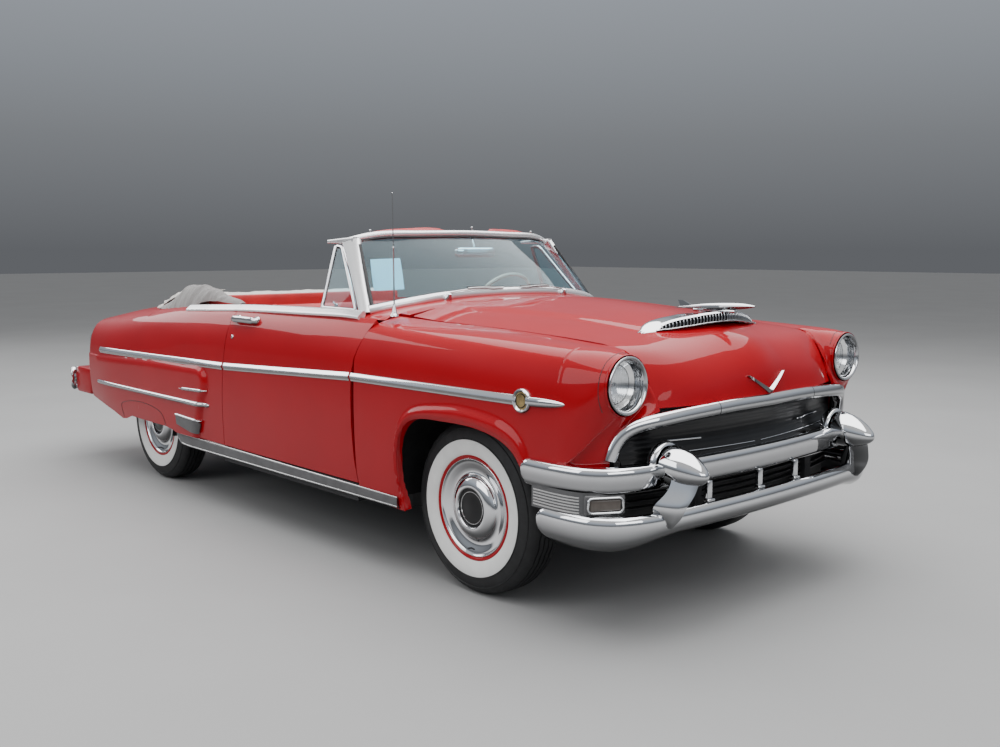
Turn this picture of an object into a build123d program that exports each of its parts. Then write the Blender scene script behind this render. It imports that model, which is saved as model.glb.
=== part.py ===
from build123d import *
import math
import os

os.makedirs("parts", exist_ok=True)

# Full-size 1950s convertible, millimetres.  +Z up, the front of the car faces -Y, +X is the
# car's left.  Origin: centre of the footprint box, on the ground.
# Every sketch below uses y measured from the middle of the wheelbase; Y0 moves it to the origin.

# ---- driving dimensions -------------------------------------------------------------------
WHEELBASE = 2997.0
TRACK_F, TRACK_R = 1473.0, 1422.0
Y0 = -113.0                        # wheelbase middle in the part's frame
AXLE_F, AXLE_R = -WHEELBASE / 2, WHEELBASE / 2
TYRE_R = 363.0
WHEEL_X_F, WHEEL_X_R = TRACK_F / 2, TRACK_R / 2
KINGPIN_X = 610.0
WALL = 45.0                        # fender and quarter wall
HOOD_T = 30.0
LID_T = 28.0
SHUT = 6.0                         # shut line
DOOR_GAP = 10.0                    # door rear shut line
HEADLAMP = (753.0, 937.0, 104.5)   # x, z, bezel radius
COLUMN = (380.0, -360.0, 1097.0)   # steering wheel centre
COLUMN_RAKE = 30.0                 # column above horizontal
STEER_ARM = 143.5                  # kingpin to track rod eye
ROD_Z = 341.0


def sec_y(y):
    """Cross-section plane, local (x, z)."""
    return Plane(origin=(0, y + Y0, 0), x_dir=(1, 0, 0), z_dir=(0, -1, 0))


def sec_x(x):
    """Side-view plane, local (y, z), normal +X."""
    return Plane(origin=(x, Y0, 0), x_dir=(0, 1, 0), z_dir=(1, 0, 0))


def sec_z(z):
    """Plan plane, local (x, y), normal +Z."""
    return Plane(origin=(0, Y0, z), x_dir=(1, 0, 0), z_dir=(0, 0, 1))


def at(x, y, z):
    return (x, y + Y0, z)


def thick(pts, t, square=None):
    """Closed outline of an open line given a thickness t on its right-hand side.
    square 0 or 1 keeps that coordinate at the line's end, so the end face is square to it."""
    inner = []
    n = len(pts)
    for i in range(n):
        nx, ny = 0.0, 0.0
        for a, b in ((i - 1, i), (i, i + 1)):
            if a < 0 or b >= n:
                continue
            dx, dy = pts[b][0] - pts[a][0], pts[b][1] - pts[a][1]
            d = math.hypot(dx, dy)
            nx += dy / d
            ny += -dx / d
        d2 = nx * nx + ny * ny
        k = 2.0 if 0 < i < n - 1 else 1.0
        inner.append((pts[i][0] + t * k * nx / d2, pts[i][1] + t * k * ny / d2))
    if square == 0:
        inner[-1] = (pts[-1][0], inner[-1][1])
    if square == 1:
        inner[-1] = (inner[-1][0], pts[-1][1])
    return list(pts) + inner[::-1]


def ruled(stations, plane_of):
    """Ruled body through (position, outline) stations."""
    with BuildPart() as body:
        for pos, pts in stations:
            with BuildSketch(plane_of(pos)):
                Polygon(*pts, align=None)
        loft(ruled=True)
    return body.part


def prism(plane_of, pos, pts, depth):
    """Outline pts on the plane at pos, extruded along the plane's normal."""
    with BuildPart() as body:
        with BuildSketch(plane_of(pos)):
            Polygon(*pts, align=None)
        extrude(amount=depth)
    return body.part


# ---- body side, left half -----------------------------------------------------------------
# One row a station: y, then the outer line from the sill up over the crown to the hood or deck
# seam as (x, z): sill, low, waist, side, trim line, shoulder, edge, crown, seam.
SIDE_FRONT = [
    (-2120, [(893, 470), (900, 540), (906, 640), (908, 760), (905, 865), (893, 960), (860, 1030), (770, 1062), (645, 1058)]),
    (-1850, [(903, 440), (912, 540), (918, 640), (922, 760), (919, 865), (903, 975), (868, 1040), (780, 1074), (647, 1077)]),
    (-1500, [(908, 380), (920, 480), (926, 620), (927, 760), (924, 865), (908, 985), (870, 1048), (785, 1086), (664, 1095)]),
    (-1130, [(904, 300), (920, 450), (928, 620), (928, 760), (925, 865), (910, 990), (874, 1056), (790, 1094), (704, 1108)]),
    (-780, [(904, 300), (920, 450), (928, 620), (929, 760), (926, 865), (911, 990), (876, 1070), (806, 1108), (722, 1126)]),
]
SIDE_DOOR = [
    (-960, [(912, 330), (920, 450), (928, 620), (929, 760), (926, 865), (911, 990), (880, 1068), (850, 1100), (838, 1110)]),
    (-300, [(912, 330), (921, 450), (929, 620), (930, 760), (927, 865), (912, 990), (880, 1068), (850, 1100), (838, 1110)]),
    (480, [(912, 330), (920, 450), (930, 620), (931, 760), (927, 865), (911, 985), (878, 1062), (848, 1096), (836, 1106)]),
]
SIDE_MID = [
    (430, [(904, 300), (920, 450), (930, 620), (931, 760), (927, 865), (911, 985), (877, 1060), (845, 1094), (745, 1104)]),
    (900, [(904, 300), (920, 450), (930, 620), (930, 760), (924, 865), (907, 973), (872, 1043), (832, 1080), (745, 1098)]),
    (1300, [(904, 330), (919, 450), (929, 620), (929, 760), (920, 865), (901, 955), (863, 1018), (800, 1066), (740, 1088)]),
    (1470, [(903, 340), (918, 450), (928, 620), (928, 760), (918, 862), (898, 947), (860, 1005), (798, 1046), (740, 1070)]),
]
SIDE_REAR = [
    (1470, [(903, 340), (918, 450), (928, 620), (928, 760), (918, 862), (898, 947), (860, 1005), (798, 1046), (572, 1086)]),
    (1640, [(901, 350), (916, 455), (926, 620), (926, 760), (915, 858), (894, 935), (856, 990), (796, 1028), (572, 1072)]),
    (2000, [(894, 380), (908, 470), (918, 620), (917, 760), (905, 845), (884, 905), (847, 955), (788, 991), (572, 1031)]),
    (2305, [(870, 420), (882, 490), (892, 620), (889, 760), (877, 835), (860, 885), (828, 930), (772, 958), (572, 955)]),
]

# Side-view outlines (y, z)
ARCH_F = [(-1192, 250), (-1187, 306), (-1140, 426), (-1137, 543), (-1162, 641), (-1215, 697), (-1290, 722),
          (-1577, 731), (-1700, 719), (-1790, 695), (-1874, 636), (-1905, 560), (-1915, 470), (-1915, 250)]
DOOR_FRONT = [(-888, 1200), (-888, 1112), (-868, 1060), (-812, 930), (-795, 855), (-800, 640), (-823, 371)]
DOOR_REAR = [(345, 1200), (345, 1108), (362, 960), (385, 800), (410, 560), (425, 371)]
FENDER_F = [(y - SHUT, z) for y, z in DOOR_FRONT[:-1]] + [(-829, 371), (-829, 308), (-1150, 308), (-1150, 200), (-1916, 200), (-1916, 562), (-2120, 562), (-2120, 1200)]
DOOR = DOOR_FRONT + DOOR_REAR[::-1]
QUARTER = [(y + DOOR_GAP, z) for y, z in DOOR_REAR[:-1]] + [(435, 371), (435, 308), (880, 308), (1020, 385), (1670, 385),
                                                           (1756, 358), (2060, 415), (2305, 446), (2305, 1200)]
BULGE = [(2108, 733), (1300, 770), (660, 781), (596, 765), (578, 715), (613, 602), (650, 513), (704, 400), (880, 360),
         (1020, 392), (1670, 392), (1756, 366), (2060, 420), (2108, 428)]


def panel(stations, side_view):
    """Thick side wall through the stations, trimmed to a side-view outline."""
    with BuildPart() as body:
        for pos, pts in stations:
            with BuildSketch(sec_y(pos)):
                Polygon(*thick(pts, -WALL, 0), align=None)
        loft(ruled=True)
        with BuildSketch(sec_x(300)):
            Polygon(*side_view, align=None)
        extrude(amount=800, mode=Mode.INTERSECT)
    return body.part


# ---- front fenders -------------------------------------------------------------------------
# Lamp pod in front of the wheel arch: y, closed outline (x, z)
POD = [
    (-2120, [(645, 1062), (770, 1066), (860, 1030), (893, 960), (905, 865), (908, 760), (906, 662), (802, 662), (738, 838), (626, 850)]),
    (-2205, [(640, 1040), (762, 1060), (842, 1028), (876, 955), (888, 865), (888, 760), (884, 662), (802, 662), (738, 838), (626, 850)]),
    (-2250, [(652, 1005), (757, 1052), (822, 1020), (850, 955), (858, 865), (850, 770), (834, 690), (808, 676), (740, 838), (624, 850)]),
]
fender_wall = panel(SIDE_FRONT, FENDER_F)
pod = ruled(POD, sec_y)
with BuildPart() as front_fender_left:
    add(fender_wall)
    add(pod)
    with BuildSketch(sec_x(780)):
        Polygon(*ARCH_F, align=None)
    extrude(amount=250, mode=Mode.SUBTRACT)
    with BuildSketch(sec_y(-2170)):
        with Locations((HEADLAMP[0], HEADLAMP[1])):
            Circle(HEADLAMP[2] + 6)
    extrude(amount=120, mode=Mode.SUBTRACT)
    # inner apron beside the engine, and its shelf
    for x, y, z, dx, dy, dz in [(434, -1505, 805, 12, 1090, 438), (574, -1505, 1016, 292, 1090, 15), (712, -1505, 1033, 16, 1090, 48)]:
        with Locations(at(x, y, z)):
            Box(dx, dy, dz)
with BuildPart() as front_fender_right:
    mirror(front_fender_left.part, about=Plane.YZ)

# ---- hood: side profiles (y, z) at each x, from the cowl to the nose's lower edge ------------
HOOD = [
    (0, [(-955, 1196), (-1300, 1190), (-1700, 1166), (-1967, 1138), (-2149, 1106), (-2240, 1066), (-2300, 1010), (-2338, 940), (-2356, 838)]),
    (240, [(-957, 1190), (-1300, 1174), (-1700, 1150), (-1967, 1118), (-2135, 1084), (-2225, 1044), (-2287, 990), (-2325, 925), (-2348, 838)]),
    (480, [(-962, 1170), (-1300, 1146), (-1700, 1122), (-1967, 1094), (-2110, 1068), (-2190, 1036), (-2250, 985), (-2292, 915), (-2315, 838)]),
    (600, [(-966, 1148), (-1300, 1124), (-1700, 1100), (-1967, 1079), (-2095, 1062), (-2165, 1034), (-2218, 975), (-2254, 905), (-2285, 838)]),
    (710, [(-970, 1122), (-1300, 1098), (-1700, 1074), (-1967, 1062), (-2080, 1050), (-2145, 1020), (-2195, 962), (-2230, 895), (-2262, 838)]),
]
HOOD_PLAN = [(0, -950), (702, -950), (698, -1130), (658, -1500), (641, -1850), (637, -2110), (612, -2190), (604, -2260), (604, -2420), (0, -2420)]
hood_half = ruled([(x, thick(p, -HOOD_T, 1)) for x, p in HOOD], sec_x)
with BuildPart() as hood:
    add(hood_half)
    with BuildSketch(sec_z(700)):
        Polygon(*HOOD_PLAN, align=None)
    extrude(amount=600, mode=Mode.INTERSECT)
    mirror(about=Plane.YZ)

# Air scoop and its dart: side profiles (y, z) at each x
SCOOP = [
    (0, [(-1978, 1128), (-1984, 1146), (-2120, 1150), (-2152, 1146), (-2152, 1096), (-2080, 1104)]),
    (310, [(-1962, 1100), (-1968, 1118), (-2040, 1124), (-2062, 1118), (-2062, 1078), (-2000, 1092)]),
    (400, [(-2010, 1088), (-2014, 1102), (-2026, 1104), (-2034, 1102), (-2034, 1082), (-2020, 1084)]),
]
scoop_half = ruled(SCOOP, sec_x)
with BuildPart() as hood_scoop:
    add(scoop_half)
    mirror(about=Plane.YZ)
    with Locations(at(0, -2080, 1150)):
        Box(26, 120, 26)
    with BuildSketch(sec_y(-2040)):
        with Locations((0, 1172)):
            Rectangle(46, 20)
    with BuildSketch(sec_y(-2278)):
        with Locations((0, 1176)):
            Rectangle(10, 10)
    loft()
    add(hood.part, mode=Mode.SUBTRACT)

# ---- nose, lamps and bumpers ---------------------------------------------------------------
# Chrome arch over the grille: top bar as (x, y centre, z centre), legs below it
ARCH_TOP = [(-705, -2268, 806), (-400, -2332, 816), (0, -2352, 817), (400, -2332, 816), (705, -2268, 806)]
arch_top = ruled([(x, [(y - 20, z - 14), (y + 20, z - 14), (y + 20, z + 14), (y - 20, z + 14)]) for x, y, z in ARCH_TOP], sec_x)
ARCH_LEG = [(818, 703, -2268), (672, 776, -2208)]
with BuildPart() as grille_surround:
    for z, x, y in ARCH_LEG:
        with BuildSketch(sec_z(z)):
            with Locations((x, y)):
                Rectangle(32, 40)
    loft(ruled=True)
    mirror(about=Plane.YZ)
    add(arch_top)

GRILLE_BARS = [690, 735, 780]
with BuildPart() as grille:
    with Locations(at(0, -2180, 735)):
        Box(1330, 14, 134)
    with Locations(at(0, -2170, 560)):
        Box(1400, 20, 216)
    for z in GRILLE_BARS:
        with Locations(at(0, -2215, z)):
            Box(1200, 56, 8)

UPPER_BAR = [(945, -1900), (945, -2080), (925, -2190), (870, -2265), (790, -2310), (600, -2345), (300, -2370), (0, -2380)]
UPPER_BACK = [(0, -2335), (300, -2326), (590, -2300), (770, -2268), (845, -2228), (898, -2170), (918, -2075), (918, -1900)]
LOWER_BAR = [(940, -2000), (945, -2150), (935, -2260), (900, -2325), (800, -2375), (500, -2410), (0, -2420)]
LOWER_BACK = [(0, -2375), (490, -2365), (785, -2335), (868, -2298), (898, -2250), (912, -2150), (912, -2000)]
GUARD_X, GUARD_Z = 589.0, 640.0
GUARD_SIDE = [(-2345, 712), (-2400, 712), (-2470, 660), (-2440, 560), (-2425, 470), (-2395, 405), (-2345, 405)]
with BuildPart() as front_bumper:
    for z, front, back, h in [(555, UPPER_BAR, UPPER_BACK, 95), (390, LOWER_BAR, LOWER_BACK, 85)]:
        with BuildSketch(sec_z(z)):
            Polygon(*(front + back), align=None)
        extrude(amount=h)
    with BuildSketch(sec_x(GUARD_X - 34)):
        Polygon(*GUARD_SIDE, align=None)
    extrude(amount=68)
    # bullet of the guard
    with BuildSketch(sec_y(-2345)):
        with Locations((GUARD_X, GUARD_Z)):
            Circle(72)
    with BuildSketch(sec_y(-2440)):
        with Locations((GUARD_X, GUARD_Z)):
            Circle(56)
    with BuildSketch(sec_y(-2505)):
        with Locations((GUARD_X, GUARD_Z)):
            Circle(14)
    loft(ruled=True)
    mirror(about=Plane.YZ)
    for x in (-300, 0, 300):
        with Locations(at(x, -2358, 515)):
            Cylinder(22, 84)

LAMP_PLAN = [(930, -1950), (930, -2140), (908, -2200), (850, -2248), (700, -2275), (700, -2235), (838, -2210), (880, -2172), (900, -2125), (900, -1950)]
with BuildPart() as parking_lamps:
    with BuildSketch(sec_z(479)):
        Polygon(*LAMP_PLAN, align=None)
    extrude(amount=72)
    mirror(about=Plane.YZ)

with BuildPart() as headlamps:
    with BuildSketch(sec_y(-2170)):
        with Locations((HEADLAMP[0], HEADLAMP[1])):
            Circle(HEADLAMP[2])
    extrude(amount=100)
    with BuildSketch(sec_y(-2235)):
        with Locations((HEADLAMP[0], HEADLAMP[1])):
            Circle(88)
    extrude(amount=60, mode=Mode.SUBTRACT)
    mirror(about=Plane.YZ)

# ---- doors ---------------------------------------------------------------------------------
with BuildPart() as door_left:
    for pos, pts in SIDE_DOOR:
        with BuildSketch(sec_y(pos)):
            Polygon(*(pts + [(758, 1110), (758, 1010), (815, 960), (815, 330)]), align=None)
    loft(ruled=True)
    with BuildSketch(sec_x(300)):
        Polygon(*DOOR, align=None)
    extrude(amount=800, mode=Mode.INTERSECT)
    # the inner ledge starts behind the windscreen pillar
    with Locations(at(750, -820, 1000)):
        Box(104, 330, 400, mode=Mode.SUBTRACT)
with BuildPart() as door_right:
    mirror(door_left.part, about=Plane.YZ)

# Vent windows: z, then y front, y rear, x
VENT = [(1111, -648, -338, 776), (1443, -392, -312, 668)]
with BuildPart() as vent_window_left:
    for z, y1, y2, x in VENT:
        with BuildSketch(sec_z(z)):
            with Locations((x, (y1 + y2) / 2)):
                Rectangle(12, y2 - y1)
    loft(ruled=True)
with BuildPart() as vent_window_right:
    mirror(vent_window_left.part, about=Plane.YZ)

# ---- quarter panels, deck and tail -----------------------------------------------------------
quarter_mid = panel(SIDE_MID, QUARTER)
quarter_rear = panel(SIDE_REAR, QUARTER)
bulge = prism(sec_x, 900, BULGE, 43)
# inner walls: x, y, z of the centre, then sizes
QUARTER_INNER = [
    (805, 455, 690, 140, 20, 740),    # door lock pillar
    (730, 745, 700, 15, 600, 760),    # rear side trim
    (572, 1500, 565, 25, 860, 430),   # wheelhouse inner wall
    (735, 1500, 767, 340, 860, 25),   # wheelhouse top
    (735, 1082, 580, 340, 24, 380),   # wheelhouse front
    (735, 1918, 590, 330, 24, 350),   # wheelhouse rear
]
with BuildPart() as quarter_panel_left:
    add(quarter_mid)
    add(quarter_rear)
    add(bulge)
    for x, y, z, dx, dy, dz in QUARTER_INNER:
        with Locations(at(x, y, z)):
            Box(dx, dy, dz)
    # axle slot in the wheelhouse
    with Locations(at(572, AXLE_R, 420)):
        Box(40, 240, 150, mode=Mode.SUBTRACT)
    # closed rear end that carries the lamp
    with BuildSketch(sec_y(2305)):
        Polygon(*(SIDE_REAR[-1][1] + [(572, 640), (640, 470)]), align=None)
    with BuildSketch(sec_y(2360)):
        Polygon((842, 446), (862, 500), (874, 620), (871, 760), (860, 830), (843, 875), (812, 915), (762, 938), (572, 926), (572, 640), (640, 470), align=None)
    loft(ruled=True)
with BuildPart() as quarter_panel_right:
    mirror(quarter_panel_left.part, about=Plane.YZ)

# Trunk lid: side profiles (y, z) at each x
LID = [
    (0, [(1640, 1112), (1900, 1087), (2150, 1040), (2300, 978), (2385, 890), (2420, 790), (2428, 662)]),
    (300, [(1640, 1104), (1900, 1078), (2150, 1028), (2296, 965), (2380, 880), (2414, 785), (2422, 662)]),
    (566, [(1640, 1074), (1900, 1046), (2150, 998), (2285, 945), (2352, 868), (2388, 780), (2396, 662)]),
]
lid_half = ruled([(x, thick(p, LID_T, 1)) for x, p in LID], sec_x)
with BuildPart() as trunk_lid:
    add(lid_half)
    mirror(about=Plane.YZ)

# Deck between the folded top and the lid, and the gutter walls around the opening
DECK = [
    (0, [(1470, 1122), (1633, 1113), (1633, 1080), (1470, 1090)]),
    (571, [(1470, 1088), (1633, 1074), (1633, 1046), (1470, 1056)]),
]
deck_half = ruled(DECK, sec_x)
with BuildPart() as rear_deck:
    add(deck_half)
    with Locations(at(277, 1481, 800)):
        Box(554, 22, 520)
    mirror(about=Plane.YZ)

with BuildPart() as tail_panel:
    with Locations(at(0, 2500, 525)):
        Box(1744, 270, 150)
    with Locations(at(0, 2514, 510)):
        Box(1692, 250, 140, mode=Mode.SUBTRACT)
    with Locations(at(0, 2382, 626)):
        Box(1130, 34, 56)
    with Locations(at(-435, 2377, 490), at(435, 2377, 490)):
        Box(64, 60, 64, mode=Mode.SUBTRACT)

# Tail lamps: side outline (y, z)
TAIL_LAMP = [(2361, 640), (2425, 655), (2440, 850), (2400, 915), (2361, 925)]
with BuildPart() as tail_lamps:
    with BuildSketch(sec_x(726)):
        Polygon(*TAIL_LAMP, align=None)
    extrude(amount=118)
    mirror(about=Plane.YZ)

REAR_BAR = [(900, 2640), (900, 2680), (862, 2714), (600, 2727), (0, 2731)]
REAR_BACK = [(0, 2692), (595, 2690), (838, 2678), (872, 2640)]
PLATE_X, PLATE_Z = 177.8, 120.65
with BuildPart() as rear_bumper:
    with BuildSketch(sec_z(450)):
        Polygon(*(REAR_BAR + REAR_BACK), align=None)
    extrude(amount=160)
    mirror(about=Plane.YZ)
    # licence plate bracket standing on the bar
    with Locations(at(0, 2700, 680)):
        Box(320, 5, 170)
    with BuildSketch(sec_y(2720)):
        with Locations((0, 692)):
            with GridLocations(PLATE_X, PLATE_Z, 2, 2):
                Circle(3.5)
    extrude(amount=40, mode=Mode.SUBTRACT)

# ---- cowl, windscreen and dashboard ------------------------------------------------------------
COWL = [
    (0, [(-945, 1194), (-860, 1199), (-660, 1188)]),
    (400, [(-945, 1172), (-830, 1184), (-660, 1174)]),
    (700, [(-945, 1128), (-760, 1141), (-660, 1132)]),
    (758, [(-945, 1118), (-730, 1128), (-660, 1120)]),
]
cowl_half = ruled([(x, thick(p, 18)) for x, p in COWL], sec_x)
COWL_PLAN = [(0, -950), (706, -950), (706, -884), (757, -884), (757, -650), (0, -650)]
FIREWALL = [(-600, 560), (-600, 1110), (600, 1110), (600, 560), (240, 560), (190, 640), (-190, 640), (-240, 560)]
with BuildPart() as cowl:
    add(cowl_half)
    with BuildSketch(sec_z(1000)):
        Polygon(*COWL_PLAN, align=None)
    extrude(amount=400, mode=Mode.INTERSECT)
    # kick panel, hinge pillar
    for x, y, z, dx, dy, dz in [(732, -768, 743, 14, 216, 746), (732, -902, 705, 14, 56, 670), (795, -922, 657, 114, 14, 654), (645, -938, 790, 150, 14, 530)]:
        with Locations(at(x, y, z)):
            Box(dx, dy, dz)
    mirror(about=Plane.YZ)
    with BuildSketch(sec_y(-931)):
        Polygon(*FIREWALL, align=None)
    extrude(amount=14)
    with Locations(at(0, -938, 1130)):
        Box(700, 14, 60)
    with BuildSketch(Plane(origin=at(*COLUMN), x_dir=(1, 0, 0), z_dir=(0, -math.cos(math.radians(COLUMN_RAKE)), -math.sin(math.radians(COLUMN_RAKE))))):
        Circle(34)
    extrude(amount=900, mode=Mode.SUBTRACT)

# Header and base rail: x, y centre, z centre, half sizes
HEADER = [(-662, -424, 1461), (-600, -448, 1478), (-350, -500, 1495), (0, -522, 1500), (350, -500, 1495), (600, -448, 1478), (662, -424, 1461)]
header = ruled([(x, [(y - 20, z - 14), (y + 20, z - 14), (y + 20, z + 14), (y - 20, z + 14)]) for x, y, z in HEADER], sec_x)
BASE_RAIL = [(0, -856, 1212), (400, -826, 1198), (700, -748, 1153), (757, -712, 1140)]
base_rail = ruled([(x, [(y - 12, z - 8), (y + 12, z - 9), (y + 12, z + 8), (y - 12, z + 8)]) for x, y, z in BASE_RAIL], sec_x)
with BuildPart() as windshield_frame:
    add(base_rail)
    for z, x, y in [(1134, 752, -694), (1474, 652, -432)]:
        with BuildSketch(sec_z(z)):
            with Locations((x, y)):
                Rectangle(26, 44)
    loft(ruled=True)
    mirror(about=Plane.YZ)
    add(header)
    add(cowl.part, mode=Mode.SUBTRACT)

# Glass: x, then y and z at the base and at the header
GLASS = [(0, -856, 1221, -531, 1485), (350, -832, 1208, -508, 1480), (600, -780, 1178, -455, 1463), (735, -722, 1155, -400, 1440)]
glass_half = ruled([(x, [(a - 3, b), (a + 3, b), (c + 3, d), (c - 3, d)]) for x, a, b, c, d in GLASS], sec_x)
with BuildPart() as windshield_glass:
    add(glass_half)
    with BuildSketch(sec_y(-300)):
        Polygon((-10, 1100), (738, 1100), (732, 1150), (636, 1486), (-10, 1486), align=None)
    extrude(amount=700, mode=Mode.INTERSECT)
    mirror(about=Plane.YZ)
    add(windshield_frame.part, mode=Mode.SUBTRACT)

DASH = [(-655, 1100), (-655, 1158), (-560, 1160), (-505, 1130), (-498, 1010), (-540, 940), (-600, 940)]
with BuildPart() as dashboard:
    with BuildSketch(sec_x(-722)):
        Polygon(*DASH, align=None)
    extrude(amount=1444)
    for s in (-1, 1):
        with Locations(at(s * 700, -655, 1150)):
            Box(80, 60, 60, mode=Mode.SUBTRACT)
    with BuildSketch(Plane(origin=at(*COLUMN), x_dir=(1, 0, 0), z_dir=(0, -math.cos(math.radians(COLUMN_RAKE)), -math.sin(math.radians(COLUMN_RAKE))))):
        Circle(34)
    extrude(amount=900, mode=Mode.SUBTRACT)

# ---- steering ------------------------------------------------------------------------------------
C, S = math.cos(math.radians(COLUMN_RAKE)), math.sin(math.radians(COLUMN_RAKE))


def col_plane(d):
    """Plane across the column, d millimetres below the wheel centre."""
    return Plane(origin=at(COLUMN[0], COLUMN[1] - d * C, COLUMN[2] - d * S), x_dir=(1, 0, 0), z_dir=(0, -C, -S))


with BuildPart() as steering_column:
    with BuildSketch(col_plane(32)):
        Circle(27)
    extrude(amount=818)
    with Locations(at(374, -1130, 640)):
        Box(70, 110, 110)

with BuildPart() as steering_wheel:
    with BuildSketch(Plane(origin=at(COLUMN[0] + 214, COLUMN[1], COLUMN[2]), x_dir=(1, 0, 0), z_dir=(0, S, -C))):
        Circle(11)
    revolve(axis=Axis(at(*COLUMN), (0, C, S)), revolution_arc=360)
    with BuildSketch(col_plane(-6)):
        Circle(34)
    extrude(amount=32)
    with BuildSketch(col_plane(0)):
        Rectangle(424, 22)
    extrude(amount=9)

arm_end = (KINGPIN_X, AXLE_F + STEER_ARM)
with BuildPart() as track_rod:
    with BuildSketch(sec_x(-KINGPIN_X)):
        with Locations((arm_end[1], ROD_Z)):
            Circle(10)
    extrude(amount=2 * KINGPIN_X)
    for s in (-1, 1):
        with Locations(at(s * KINGPIN_X, arm_end[1], ROD_Z)):
            Cylinder(18, 20)

with BuildPart() as knuckle_left:
    with Locations(at(KINGPIN_X, AXLE_F, 380)):
        Cylinder(20, 236)
    with BuildSketch(sec_x(WHEEL_X_F - 96)):
        with Locations((AXLE_F, TYRE_R)):
            Circle(138)
    extrude(amount=12)
    with Locations(at(KINGPIN_X + 18, AXLE_F, TYRE_R)):
        Box(30, 60, 110)
    with BuildSketch(sec_x(WHEEL_X_F - 90)):
        with Locations((AXLE_F, TYRE_R)):
            Circle(20)
    extrude(amount=80)
    with Locations(at(KINGPIN_X, AXLE_F + STEER_ARM / 2, 364)):
        Box(30, STEER_ARM + 30, 14)
with BuildPart() as knuckle_right:
    mirror(knuckle_left.part, about=Plane.YZ)

# ---- wheels -----------------------------------------------------------------------------------------
# Tyre section (axial, radial) from the inner bead to the outer bead
TYRE = [(-62, 191), (-80, 215), (-94, 262), (-90, 310), (-76, 345), (-56, 361), (-50, 363), (50, 363), (56, 361), (76, 345), (90, 310), (94, 262), (80, 215), (62, 191)]
# Wheel section (axial, radial): hub face, cap, disc, barrel, drum
WHEEL = [(0, 20.05), (0, 0), (66, 0), (64, 60), (50, 108), (34, 126), (28, 150), (58, 178), (62, 190.6), (-62, 190.6), (-62, 178), (-12, 166), (-20, 140), (-78, 140), (-78, 20.05)]
WHEELS = [
    ("front_left", 1, WHEEL_X_F, AXLE_F), ("front_right", -1, WHEEL_X_F, AXLE_F),
    ("rear_left", 1, WHEEL_X_R, AXLE_R), ("rear_right", -1, WHEEL_X_R, AXLE_R),
]
wheel_parts = []
for name, side, wx, wy in WHEELS:
    for kind, section in (("tyre", TYRE), ("wheel", WHEEL)):
        with BuildPart() as ring:
            with BuildSketch(Plane(origin=(side * wx, wy + Y0, TYRE_R), x_dir=(side, 0, 0), z_dir=(0, -side, 0))):
                Polygon(*section, align=None)
            revolve(axis=Axis((side * wx, wy + Y0, TYRE_R), (1, 0, 0)), revolution_arc=360)
        ring.part.label = kind + "_" + name
        wheel_parts.append(ring.part)

# ---- chassis ----------------------------------------------------------------------------------------
RAIL_PLAN = [(362, -1900), (410, -1900), (410, -1130), (600, -820), (600, 780), (545, 780), (545, -800), (362, -1100)]
RAIL_REAR = [(700, 210), (790, 210), (1060, 425), (2300, 425), (2300, 500), (1020, 490), (740, 290), (700, 290)]
RAIL_NOSE = [(-1900, 210), (-1935, 210), (-2110, 372), (-2290, 372), (-2290, 446), (-2075, 446), (-1925, 295), (-1900, 295)]
X_BAR = [(545, -720), (545, -620), (60, 40), (60, 120), (545, 610), (545, 700), (0, 150), (0, 10)]
CROSS = [(-1500, 130, 205, 285, 400), (740, 80, 248, 290, 590), (1120, 60, 430, 480, 430), (2260, 60, 430, 480, 430)]  # y, depth, z low, z high, half width
with BuildPart() as chassis_frame:
    with BuildSketch(sec_z(210)):
        Polygon(*RAIL_PLAN, align=None)
    extrude(amount=85)
    with BuildSketch(sec_x(410)):
        Polygon(*RAIL_REAR, align=None)
    extrude(amount=50)
    with BuildSketch(sec_x(362)):
        Polygon(*RAIL_NOSE, align=None)
    extrude(amount=48)
    mirror(about=Plane.YZ)
    for y, d, z1, z2, w in CROSS:
        with Locations(at(0, y, (z1 + z2) / 2)):
            Box(2 * w, d, z2 - z1)

with BuildPart() as chassis_x_brace:
    with BuildSketch(sec_z(245)):
        Polygon(*X_BAR, align=None)
    extrude(amount=45)
    mirror(about=Plane.YZ)

with BuildPart() as bumper_irons:
    with Locations(at(386, -2301, 525)):
        Box(44, 22, 250)
    with Locations(at(435, 2492, 490)):
        Box(44, 384, 44)
    mirror(about=Plane.YZ)
    with BuildSketch(sec_y(-2290)):
        Polygon((-410, 640), (410, 640), (410, 652), (-410, 652), align=None)
    extrude(amount=8)

# Lower and upper wishbones, coil spring and its tower
with BuildPart() as front_suspension:
    with BuildSketch(sec_z(224)):
        Polygon((410.2, -1600), (420, -1600), (632, -1520), (632, -1478), (420, -1398), (410.2, -1398), align=None)
    extrude(amount=26)
    with BuildSketch(sec_z(508)):
        Polygon((412, -1570), (440, -1570), (630, -1516), (630, -1482), (440, -1428), (412, -1428), align=None)
    extrude(amount=20)
    with Locations(at(500, AXLE_F, 380)):
        Cylinder(44, 270)
    with Locations(at(417.2, AXLE_F, 410)):
        Box(14, 150, 240)
    mirror(about=Plane.YZ)

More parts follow.
